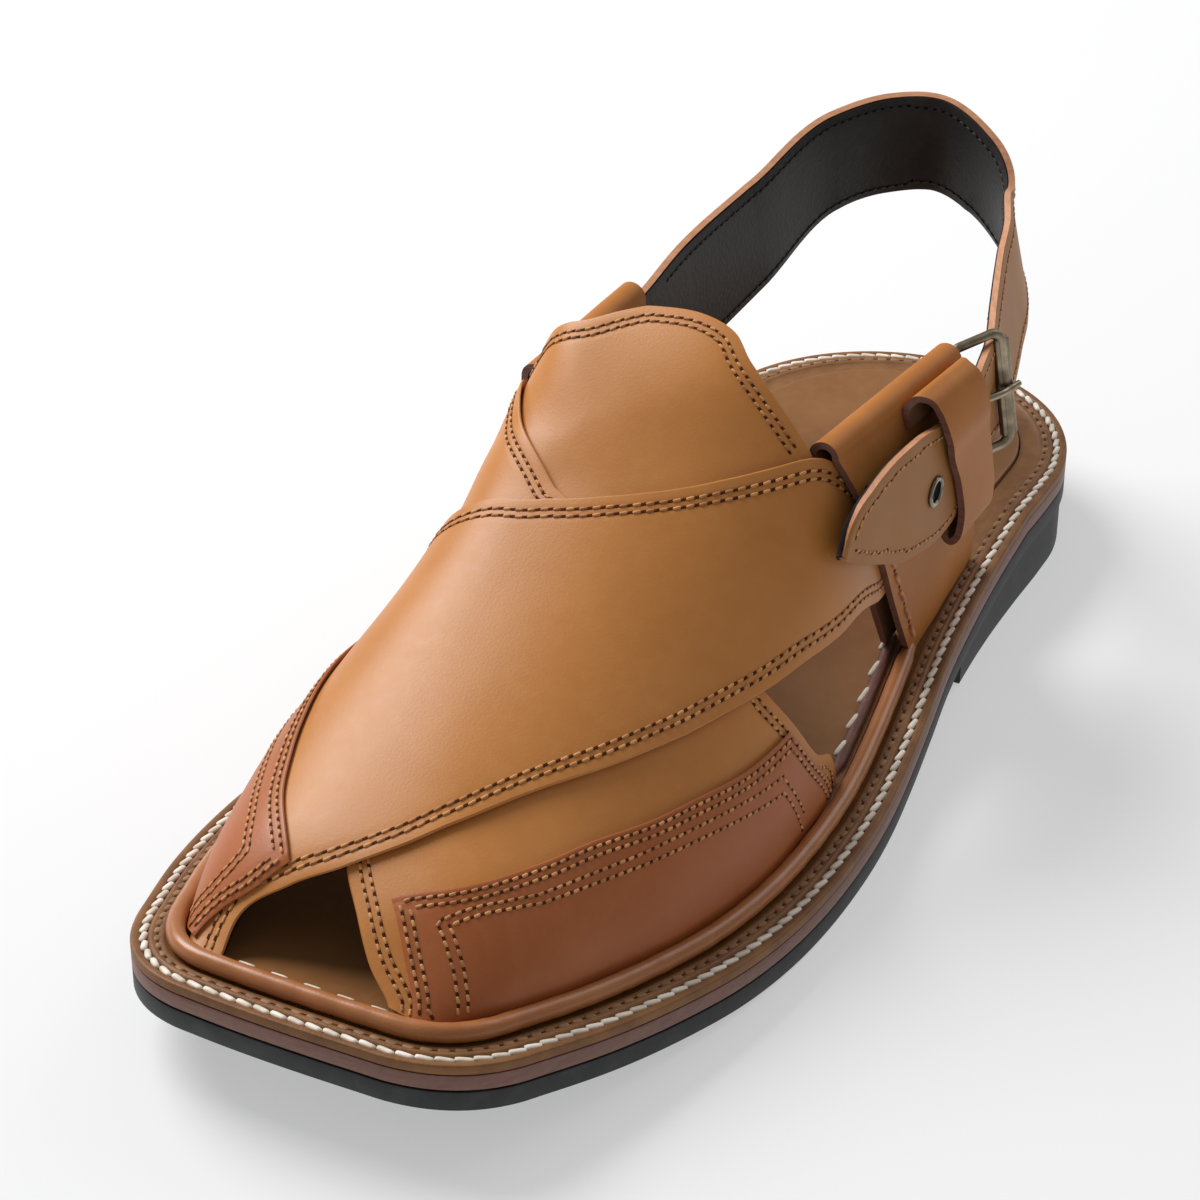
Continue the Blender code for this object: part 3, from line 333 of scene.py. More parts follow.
def line_distance(points: Array, line: Array) -> Array:
    """Distance from each point to a line of points.

    Args:
        points: Places, in any array whose last axis is X, Y and Z.
        line: The line's points.

    Returns:
        Distances, in the shape of points without its last axis.
    """
    flat = points.reshape(-1, points.shape[-1])
    a, side = line[:-1], np.diff(line, axis=0)
    best = np.full(len(flat), 1e9)
    for start, run in zip(a, side):
        share = np.clip((flat - start) @ run / max(run @ run, 1e-14), 0.0, 1.0)
        best = np.minimum(best, np.linalg.norm(flat - start - share[:, None] * run, axis=1))
    return best.reshape(points.shape[:-1])


def wander(points: Array, size: float, seed: float = 0.0) -> Array:
    """Gentle unevenness from -1 to 1, the same each run.

    Args:
        points: Places.
        size: Length of one swell, in metres.
        seed: Moves the pattern.

    Returns:
        One value for each place.
    """
    p = points / size * 2 * math.pi
    x, y, z = p[..., 0], p[..., 1], p[..., 2]
    first = np.sin(0.9 * x + 1.3 * y + seed) * np.cos(0.7 * z - 0.6 * x + 2.1 * seed)
    second = np.sin(1.7 * y - 1.1 * z + 3.3 * seed) * np.cos(1.4 * x + 0.5 * y + 1.7 * seed)
    return 0.6 * first + 0.4 * second


class Last:
    """The sole's plan and profile, and the form that the upper is laid on."""

    @staticmethod
    def sole_y(station: Array) -> Array:
        """Y of a station along the sole."""
        return HEEL_BACK - np.asarray(station, float) * SOLE_LENGTH

    @staticmethod
    def station_of(y: Array) -> Array:
        """Station of a Y position."""
        return (HEEL_BACK - np.asarray(y, float)) / SOLE_LENGTH

    @classmethod
    def underside(cls, y: Array) -> Array:
        """Height of the outsole's underside over the floor."""
        s = cls.station_of(y)
        waist = np.clip((BALL_BACK_STATION - s) / (BALL_BACK_STATION - SEAT_STATION), 0.0, 1.0)
        spring = np.clip((s - BALL_FRONT_STATION) / (1.0 - BALL_FRONT_STATION), 0.0, None)
        return HEEL_HEIGHT * waist**WAIST_POWER + TOE_SPRING * spring**SPRING_POWER

    @staticmethod
    def half_width(station: Array, side: int) -> Array:
        """Half width of the sole at a station, on one side."""
        return smooth(column(SIDES, 0), column(SIDES, 1 if side < 0 else 2), station) * BALL_WIDTH

    @classmethod
    def feather(cls, y: Array, side: int) -> Array:
        """X of the upper's foot at a Y position."""
        s, step = cls.station_of(y), 0.004
        rise = cls.half_width(s + step, side) - cls.half_width(s - step, side)
        slope = rise / (2 * step * SOLE_LENGTH)
        return side * (cls.half_width(s, side) - FEATHER_INSET * np.sqrt(1 + slope**2))

    @classmethod
    def side_line(cls, side: int) -> Array:
        """Plan points of one side, from the back of the heel to the toe's corner."""
        angles = np.linspace(0.0, math.pi / 2, 9)
        arc_x = side * float(cls.half_width(HEEL_ARC_STATION, side)) * np.sin(angles)
        arc_y = cls.sole_y(HEEL_ARC_STATION * (1 - np.cos(angles)))
        stations = np.linspace(HEEL_ARC_STATION, CORNER_STATION, 15)[1:]
        line = np.column_stack([side * cls.half_width(stations, side), cls.sole_y(stations)])
        return np.vstack([np.column_stack([arc_x, arc_y]), line])

    @classmethod
    def outline(cls, inset: float, count: int = 420) -> Array:
        """Closed plan outline of the sole, moved inwards.

        Args:
            inset: How far it is moved inwards.
            count: How many points it has.

        Returns:
            Plan points, evenly spaced along the sole's own edge.
        """
        def toe(row: Sequence[float]) -> Array:
            """Plan position of a row of the toe's table."""
            return np.array([row[0] * BALL_WIDTH, float(cls.sole_y(row[1]))])

        def corner(start: Array, control: Array, end: Array) -> Array:
            """Points of a rounded corner, without its two ends."""
            t = np.linspace(0.0, 1.0, 8)[1:-1, None]
            return (1 - t) ** 2 * start + 2 * t * (1 - t) * control + t**2 * end

        lateral, medial = cls.side_line(1), cls.side_line(-1)
        edge_lateral, edge_medial = toe(TOE_EDGE_LATERAL), toe(TOE_EDGE_MEDIAL)
        ring = np.vstack([
            lateral,
            corner(lateral[-1], toe(TOE_CORNER_LATERAL), edge_lateral),
            edge_lateral,
            edge_medial,
            corner(edge_medial, toe(TOE_CORNER_MEDIAL), medial[-1]),
            medial[:0:-1],
        ])
        along = unit(np.roll(ring, -1, axis=0) - np.roll(ring, 1, axis=0))
        moved = ring + inset * np.column_stack([along[:, 1], -along[:, 0]])
        lap = np.vstack([ring, ring[:1]])
        marks = marks_of(lap)
        total = marks[-1]
        wide = np.concatenate([marks[-5:-1] - total, marks[:-1], marks[:5] + total])
        rows = np.vstack([moved[-4:], moved, moved[:5]])
        at = np.linspace(0.0, total, count, endpoint=False)
        return np.column_stack([smooth(wide, rows[:, 0], at), smooth(wide, rows[:, 1], at)])

    @classmethod
    def sections(cls, y: Array) -> tuple[Array, Array, Array, Array]:
        """Crest height, crest X and the two roundnesses of the last at Y."""
        s = cls.station_of(y)
        read = [smooth(column(LAST, 0), column(LAST, index), s) for index in (1, 2, 3, 4)]
        return np.maximum(read[0] * INSTEP_RISE, 0.0002), read[1] * BALL_WIDTH, read[2], read[3]

    @classmethod
    def base(cls, station: Array, across: Array) -> Array:
        """Points of the last's surface itself.

        Args:
            station: Stations.
            across: How far each lies across, from -1 to 1.

        Returns:
            Points in the row frame.
        """
        y = cls.sole_y(station)
        height, crest, medial, lateral = cls.sections(y)
        share = np.clip(np.abs(np.sin(across * math.pi / 2)), 0.0, 1.0)
        power = np.where(across < 0, medial, lateral)
        edge = np.where(across < 0, cls.feather(y, -1), cls.feather(y, 1))
        x = crest + share * (edge - crest)
        z = cls.underside(y) + UPPER_FOOT + height * np.maximum(1 - share**power, 0.0) ** (1 / power)
        return np.stack([x, np.broadcast_to(y, x.shape), z], axis=-1)

    @classmethod
    def normal(cls, station: Array, across: Array) -> Array:
        """Directions straight out of the last."""
        ds, dv = 0.002, 0.006
        along = cls.base(station - ds, across) - cls.base(station + ds, across)
        outer = cls.base(station, np.minimum(across + dv, 1.0))
        inner = cls.base(station, np.maximum(across - dv, -1.0))
        return unit(np.cross(outer - inner, along))

    @classmethod
    def surface(cls, flat: Array, rise: Array) -> Array:
        """Points that stand out from the last.

        Args:
            flat: Places, with station and across on the last axis.
            rise: How far each stands out.

        Returns:
            Points in the row frame.
        """
        station, across = flat[..., 0], flat[..., 1]
        return cls.base(station, across) + np.asarray(rise)[..., None] * cls.normal(station, across)


FLAT_SCALE = np.array([SOLE_LENGTH, 0.45 * BALL_WIDTH])


def even_path(rows: Rows, at: Array, rounded: bool = True) -> Array:
    """Places at shares of the length of a table of (station, across) rows."""
    return resample(np.asarray(rows, float) * FLAT_SCALE, at, rounded) / FLAT_SCALE


def patch(front: Array, rear: Array, foot: Array, end: Array, across: Array, along: Array) -> Array:
    """Grid that fills four edges.

    Args:
        front: Edge from the foot to the end, one row per share of along.
        rear: The edge opposite it.
        foot: Edge from front to rear, one row per share of across.
        end: The edge opposite it.
        across: Shares from front to rear.
        along: Shares from the foot to the end.

    Returns:
        Grid of (station, across).
    """
    u, t = across[:, None, None], along[None, :, None]
    ruled = (1 - u) * front[None] + u * rear[None]
    crossed = (1 - t) * foot[:, None] + t * end[:, None]
    corners = (1 - u) * (1 - t) * foot[0] + u * (1 - t) * foot[-1] + (1 - u) * t * end[0] + u * t * end[-1]
    return ruled + crossed - corners


def dense_ends(count: int) -> Array:
    """Shares from 0 to 1 that lie closer together near both ends."""
    s = np.linspace(0.0, 1.0, count)
    return 0.18 * s + 0.82 * (0.5 - 0.5 * np.cos(math.pi * s))


def outside_distance(flat: Array, front: Rows, rear: Rows) -> Array:
    """Distance from places on the last to the ground that a band covers, 0 where it covers them.

    Args:
        flat: Places, with station and across on the last axis.
        front: Front edge of the band.
        rear: Its rear edge.

    Returns:
        One distance for each place.
    """
    ring = np.vstack([np.asarray(front), np.asarray(rear)[::-1]]) * FLAT_SCALE
    points = (flat * FLAT_SCALE).reshape(-1, 2)
    distance = line_distance(points, np.vstack([ring, ring[:1]]))
    after = np.roll(ring, -1, axis=0)
    inside = np.zeros(len(points), bool)
    for a, b in zip(ring, after):
        rises = (a[1] > points[:, 1]) != (b[1] > points[:, 1])
        height = b[1] - a[1] if abs(b[1] - a[1]) > 1e-12 else 1e-12
        inside ^= rises & (points[:, 0] < a[0] + (points[:, 1] - a[1]) / height * (b[0] - a[0]))
    return np.where(inside, 0.0, distance).reshape(flat.shape[:-1])


def no_rise(flat: Array) -> Array:
    """The last's own surface."""
    return np.zeros(flat.shape[:-1])


def band_b_rise(flat: Array) -> Array:
    """Band B lies a layer down under band A, and near the last where it is bare."""
    bare = outside_distance(flat, BAND_A_FRONT, BAND_A_REAR)
    return -LAYER_STEP + (LAYER_STEP - ROOT_SINK) * ramp(bare - SINK_START, SINK_RAMP)


def tongue_rise(flat: Array) -> Array:
    """The tongue lies a layer down under whichever band covers it, and near the last where it is bare."""
    off_a = ramp(outside_distance(flat, BAND_A_FRONT, BAND_A_REAR) - SINK_START, SINK_RAMP)
    off_b = ramp(outside_distance(flat, BAND_B_FRONT, BAND_B_REAR) - SINK_START, SINK_RAMP)
    beside_b = -LAYER_STEP + (LAYER_STEP - ROOT_SINK) * off_a
    under_b = band_b_rise(flat) - LAYER_STEP
    return under_b + (beside_b - under_b) * off_b


def panel_rise(under: Rise) -> Rise:
    """Rise of a panel's grain side over the band that it is sewn on."""
    return lambda flat: under(flat) + PANEL_RISE


def linear(code: str) -> tuple[float, float, float, float]:
    """Linear colour of an sRGB hex value."""
    parts = [int(code[i:i + 2], 16) / 255 for i in (1, 3, 5)]
    red, green, blue = (c / 12.92 if c <= 0.04045 else ((c + 0.055) / 1.055) ** 2.4 for c in parts)
    return red, green, blue, 1.0


def add_node(
    tree: Tree, kind: str, settings: Optional[dict] = None, links: Optional[dict] = None,
) -> Node:
    """Adds a node with its settings and links.

    Args:
        tree: Where it goes.
        kind: The node's type.
        settings: Values of its properties, or of its inputs by name or number.
        links: Outputs that feed its inputs, by name or number.

    Returns:
        The node.
    """
    node = tree.nodes.new(kind)
    for key, value in (settings or {}).items():
        if isinstance(key, str) and hasattr(node, key):
            setattr(node, key, value)
        else:
            node.inputs[key].default_value = value
    for key, source in (links or {}).items():
        tree.links.new(source, node.inputs[key])
    return node


def new_material(name: str) -> tuple[Material, Tree, Node]:
    """Empty node material with a Principled shader wired to its output.

    Args:
        name: Name of the material.

    Returns:
        The material, its node tree and its shader.
    """
    material = bpy.data.materials.new(name)
    material.use_nodes = True
    tree = material.node_tree
    tree.nodes.clear()
    shader = add_node(tree, "ShaderNodeBsdfPrincipled")
    add_node(tree, "ShaderNodeOutputMaterial", links={"Surface": shader.outputs[0]})
    return material, tree, shader


def mix_colours(
    tree: Tree, factor: Socket, first: object, second: object,
) -> Socket:
    """Mixes two colours, each a socket or an sRGB hex value.

    Args:
        tree: Where the mix goes.
        factor: How much of the second colour there is.
        first: The first colour.
        second: The second colour.

    Returns:
        The mix's output.
    """
    node = add_node(tree, "ShaderNodeMix", {"data_type": "RGBA"}, {0: factor})
    for index, colour in ((6, first), (7, second)):
        if isinstance(colour, str):
            node.inputs[index].default_value = linear(colour)
        else:
            tree.links.new(colour, node.inputs[index])
    return node.outputs[2]


def add_noise(tree: Tree, place: Socket, size: float, detail: float = 2.0, roughness: float = 0.5) -> Socket:
    """Cloudy noise.

    Args:
        tree: Where it goes.
        place: Places on the object.
        size: Size of its swells, in millimetres.
        detail: How many finer layers it has.
        roughness: Strength of the finer layers.

    Returns:
        Its value.
    """
    settings = {"Scale": 1000 / size, "Detail": detail, "Roughness": roughness}
    return add_node(tree, "ShaderNodeTexNoise", settings, {"Vector": place}).outputs[0]


def add_range(tree: Tree, value: Socket, settings: dict) -> Socket:
    """A value brought from one range to another, where what is left out runs from 0 to 1."""
    return add_node(tree, "ShaderNodeMapRange", settings, {"Value": value}).outputs[0]


def add_bump(
    tree: Tree, shader: Node, height: Socket, strength: float,
    depth: float,
) -> None:
    """Lets a height stand out of the shaded surface.

    Args:
        tree: Where the bump goes.
        shader: The shader that it feeds.
        height: The height, from 0 to 1.
        strength: How much of it shows.
        depth: What a height of 1 stands for, in millimetres.
    """
    bump = add_node(
        tree, "ShaderNodeBump", {"Strength": strength, "Distance": depth * MM}, {"Height": height},
    )
    tree.links.new(bump.outputs[0], shader.inputs["Normal"])


@dataclass(frozen=True)
class Finish:
    """A finish, with the name of its material and its main colour."""

    name: str
    colour: str


@dataclass(frozen=True)
class Leather(Finish):
    """Finished leather: a dyed grain side with fine pores, cloudy dye and a soft wax sheen.

    Attributes:
        shade: Colour of the darker clouds.
        light: Colour of the rubbed high places.
        roughness: Mean roughness.
        pore: Size of the grain, in millimetres, drawn coarser than the real 0.2 mm so that it shows.
        depth: Depth of the grain, in millimetres.
        coat: Weight of the clear top finish.
        cloud: Size of the clouds in the dye, in millimetres.
        sheen: Strength of its mirror, less than plain for leather that has drunk oil.
    """

    shade: str
    light: str
    roughness: float = 0.42
    pore: float = 0.55
    depth: float = 0.03
    coat: float = 0.0
    cloud: float = 26.0
    sheen: float = 0.34

    def make(self) -> Material:
        """Builds the material."""
        material, tree, shader = new_material(self.name)
        place = add_node(tree, "ShaderNodeTexCoord").outputs["Object"]
        clouds = add_noise(tree, place, self.cloud, 3.0, 0.55)
        fine = add_noise(tree, place, 3.2, 5.0, 0.6)
        grain = add_node(
            tree, "ShaderNodeTexVoronoi",
            {"feature": "SMOOTH_F1", "Scale": 1000 / self.pore, "Smoothness": 0.6}, {"Vector": place},
        )
        soft = add_range(tree, clouds, {"From Min": 0.38, "From Max": 0.68})
        speck = add_range(tree, fine, {"From Min": 0.45, "From Max": 0.75, "To Max": 0.35})
        dyed = mix_colours(tree, soft, self.shade, self.colour)
        rubbed = mix_colours(tree, speck, dyed, self.light)
        tree.links.new(rubbed, shader.inputs["Base Color"])
        wax = add_range(tree, fine, {"To Min": self.roughness - 0.05, "To Max": self.roughness + 0.09})
        tree.links.new(wax, shader.inputs["Roughness"])
        relief = add_node(
            tree, "ShaderNodeMath", {"operation": "MULTIPLY_ADD", 1: 0.5},
            {0: fine, 2: grain.outputs[0]},
        )
        add_bump(tree, shader, relief.outputs[0], 0.55, self.depth)
        shader.inputs["IOR"].default_value = 1.5
        shader.inputs["Specular IOR Level"].default_value = self.sheen
        shader.inputs["Coat Weight"].default_value = self.coat
        shader.inputs["Coat Roughness"].default_value = 0.28
        return material


@dataclass(frozen=True)
class Thread(Finish):
    """Waxed twisted thread: soft, hardly glossy, with the twist as fine slanting lines.

    Attributes:
        shade: Colour in the twist.
        twist: Distance between the twists, in millimetres.
    """

    shade: str
    twist: float = 0.45

    def make(self) -> Material:
        """Builds the material."""
        material, tree, shader = new_material(self.name)
        place = add_node(tree, "ShaderNodeTexCoord").outputs["Object"]
        turned = add_node(tree, "ShaderNodeMapping", {"Rotation": (0.6, 0.3, 0.8)}, {"Vector": place})
        lines = add_node(
            tree, "ShaderNodeTexWave", {"Scale": 1000 / self.twist / 20, "Distortion": 2.0, "Detail": 2.0},
            {"Vector": turned.outputs[0]},
        )
        mixed = mix_colours(tree, lines.outputs[1], self.shade, self.colour)
        tree.links.new(mixed, shader.inputs["Base Color"])
        add_bump(tree, shader, lines.outputs[1], 0.6, 0.08)
        shader.inputs["Roughness"].default_value = 0.62
        shader.inputs["Sheen Weight"].default_value = 0.25
        return material


@dataclass(frozen=True)
class CutEdge(Finish):
    """Cut edge of a stack or sheet of leather: fibres in thin layers, rough and a little darker in places.

    Attributes:
        shade: Colour of the darker fibres.
        layer: Thickness of one layer, in millimetres.
        roughness: Roughness.
    """

    shade: str
    layer: float = 0.5
    roughness: float = 0.6

    def make(self) -> Material:
        """Builds the material."""
        material, tree, shader = new_material(self.name)
        place = add_node(tree, "ShaderNodeTexCoord").outputs["Object"]
        flat = add_node(
            tree, "ShaderNodeMapping",
            {"Scale": (1000 / 9.0, 1000 / 9.0, 1000 / self.layer)}, {"Vector": place},
        )
        fibres = add_node(
            tree, "ShaderNodeTexNoise", {"Scale": 1.0, "Detail": 4.0, "Roughness": 0.65},
            {"Vector": flat.outputs[0]},
        )
        mottle = add_noise(tree, place, 1.6, 3.0)
        both = add_node(
            tree, "ShaderNodeMath", {"operation": "MULTIPLY_ADD", 1: 0.5},
            {0: mottle, 2: fibres.outputs[0]},
        )
        soft = add_range(tree, both.outputs[0], {"From Min": 0.5, "From Max": 1.0})
        mixed = mix_colours(tree, soft, self.shade, self.colour)
        tree.links.new(mixed, shader.inputs["Base Color"])
        add_bump(tree, shader, both.outputs[0], 0.5, 0.12)
        shader.inputs["Roughness"].default_value = self.roughness
        return material


@dataclass(frozen=True)
class Rubber(Finish):
    """Moulded black rubber sheet: dull, with a fine dusting and shallow crosswise ribs on its underside.

    Attributes:
        dust: Colour of the scuffed places.
        rib: Distance between the ribs of the tread, in millimetres.
    """

    dust: str
    rib: float = 5.0

    def make(self) -> Material:
        """Builds the material."""
        material, tree, shader = new_material(self.name)
        place = add_node(tree, "ShaderNodeTexCoord").outputs["Object"]
        mottle = add_noise(tree, place, 4.0, 6.0)
        dusty = add_range(tree, mottle, {"From Min": 0.45, "From Max": 0.75})
        mixed = mix_colours(tree, dusty, self.colour, self.dust)
        tree.links.new(mixed, shader.inputs["Base Color"])
        ribs = add_node(
            tree, "ShaderNodeTexWave", {"bands_direction": "Y", "Scale": 1000 / self.rib / 20},
            {"Vector": place},
        )
        normal = add_node(tree, "ShaderNodeNewGeometry").outputs["Normal"]
        down = add_node(tree, "ShaderNodeSeparateXYZ", links={0: normal}).outputs[2]
        under = add_range(tree, down, {"From Min": -0.9, "From Max": -0.7, "To Min": 1.0, "To Max": 0.0})
        tread = add_node(
            tree, "ShaderNodeMath", {"operation": "MULTIPLY"}, {0: ribs.outputs[1], 1: under},
        )
        height = add_node(
            tree, "ShaderNodeMath", {"operation": "MULTIPLY_ADD", 1: 0.08},
            {0: mottle, 2: tread.outputs[0]},
        )
        add_bump(tree, shader, height.outputs[0], 0.7, 0.6)
        shader.inputs["Roughness"].default_value = 0.58
        return material


@dataclass(frozen=True)
class AntiqueMetal(Finish):
    """Cast zinc with an antique plating: dark in the hollows, rubbed bright on the high places.

    Attributes:
        shade: Colour of the dark plating.
        roughness: Mean roughness.
        spot: Size of the rubbed spots, in millimetres.
    """

    shade: str
    roughness: float = 0.34
    spot: float = 3.0

    def make(self) -> Material:
        """Builds the material."""
        material, tree, shader = new_material(self.name)
        place = add_node(tree, "ShaderNodeTexCoord").outputs["Object"]
        mottle = add_noise(tree, place, self.spot, 5.0)
        worn = add_range(tree, mottle, {"From Min": 0.35, "From Max": 0.65})
        mixed = mix_colours(tree, worn, self.shade, self.colour)
        tree.links.new(mixed, shader.inputs["Base Color"])
        dull = add_range(tree, worn, {"To Min": self.roughness + 0.15, "To Max": self.roughness - 0.08})
        tree.links.new(dull, shader.inputs["Roughness"])
        shader.inputs["Metallic"].default_value = 1.0
        return material


@dataclass(frozen=True)
class Shadow(Finish):
    """Painted shadow inside a punched or sewn hole: a dark, dull colour that stands for the shade in it.

    Attributes:
        shade: Colour of the deeper specks in that painted shadow.
    """

    shade: str

    def make(self) -> Material:
        """Builds the material."""
        material, tree, shader = new_material(self.name)
        place = add_node(tree, "ShaderNodeTexCoord").outputs["Object"]
        mixed = mix_colours(tree, add_noise(tree, place, 0.8), self.shade, self.colour)
        tree.links.new(mixed, shader.inputs["Base Color"])
        shader.inputs["Roughness"].default_value = 0.9
        shader.inputs["Specular IOR Level"].default_value = 0.1
        return material


@dataclass(frozen=True)
class GlowingFloor(Finish):
    """Pale floor that glows with light of its own, a painted glow that keeps the shadows on it pale.

    Attributes:
        glow: Strength of its painted glow.
        glow_colour: Colour of that light.
    """

    glow: float
    glow_colour: str = "#FBFBFC"

    def make(self) -> Material:
        """Builds the material."""
        material, _, shader = new_material(self.name)
        shader.inputs["Base Color"].default_value = linear(self.colour)
        shader.inputs["Roughness"].default_value = 0.85
        shader.inputs["Specular IOR Level"].default_value = 0.2
        # Painted glow: the floor gives off light though it is no lamp, which lifts its shadows and the shade
        # on the shoe.
        shader.inputs["Emission Color"].default_value = linear(self.glow_colour)
        shader.inputs["Emission Strength"].default_value = self.glow
        return material


class Finishes:
    """Every material of the shoe, made once."""

    def __init__(self) -> None:
        """Builds the materials."""
        self.band = Leather("tan_grain_leather", "#BC7B3D", "#B67537", "#C18243").make()
        self.panel = Leather("russet_grain_leather", "#A65E31", "#9F572B", "#AC6537").make()
        self.sleeve = Leather(
            "tan_sleeve_leather", "#AF7038", "#A5672F", "#B67840", roughness=0.48, sheen=0.14,
        ).make()
        self.strap = Leather(
            "tan_strap_leather", "#A3703F", "#9B6838", "#AA7848", roughness=0.5, sheen=0.2,
        ).make()
        self.bead = Leather(
            "rolled_bead_leather", "#AA6D40", "#9D6033", "#B37648", roughness=0.33, coat=0.25,
        ).make()
        self.welt = Leather(
            "welt_leather", "#84592F", "#6F4624", "#91683A", roughness=0.5, cloud=9.0, depth=0.08,
        ).make()
        self.insole = Leather(
            "footbed_leather", "#8B5F38", "#80552F", "#936842", roughness=0.36, cloud=34.0, pore=0.8,
        ).make()
        self.lining = Leather(
            "black_lining_leather", "#2F2E2D", "#242322", "#454341", roughness=0.5, pore=0.9, depth=0.09,
        ).make()
        self.flesh = Leather(
            "flesh_side_leather", "#70492E", "#643F27", "#7D5537", roughness=0.75, depth=0.1,
        ).make()
        # Underside of the bands and tongue: dark lining leather, made darker still as painted shade inside
        # the upper.
        self.inside = Leather(
            "dark_lining_and_painted_shade", "#2E211A", "#261A14", "#3A2B22", roughness=0.8, depth=0.06,
        ).make()
        self.raw_edge = CutEdge("raw_cut_edge", "#C98F66", "#A86F49").make()
        self.dark_edge = CutEdge("burnished_cut_edge", "#7D5242", "#58352A").make()
        self.midsole = CutEdge("midsole_leather_edge", "#80584A", "#684438", layer=0.9, roughness=0.5).make()
        self.rubber = Rubber("black_rubber", "#1B1C1D", "#2C2D2E").make()
        self.gold_thread = Thread("golden_thread", "#CC8F4E", "#A0642C").make()
        self.hand_thread = Thread("hand_sewn_thread", "#C4752E", "#8F4E1B", twist=0.7).make()
        self.white_thread = Thread("white_welt_thread", "#EDE3D5", "#CFC2B0", twist=0.8).make()
        self.brown_thread = Thread("brown_welt_thread", "#8F6234", "#6E4722", twist=0.7).make()
        # Dark colours of painted shadow for the stitch holes and the eyelet's hole.
        self.hole = Shadow("sewn_hole_painted_shadow", "#5A2E12", "#3C1E0B").make()
        self.black_hole_shadow = Shadow("punched_hole_painted_shadow", "#0C0A09", "#060505").make()
        self.buckle = AntiqueMetal("antique_pewter", "#A59780", "#766A58", spot=5.0).make()
        self.nickel = AntiqueMetal("nickel_plating", "#9A9282", "#5F584D", roughness=0.25).make()
        # The floor's painted glow keeps its shadows pale.
        self.table = GlowingFloor("backdrop_glowing_floor", "#AEAEAE", 0.45).make()


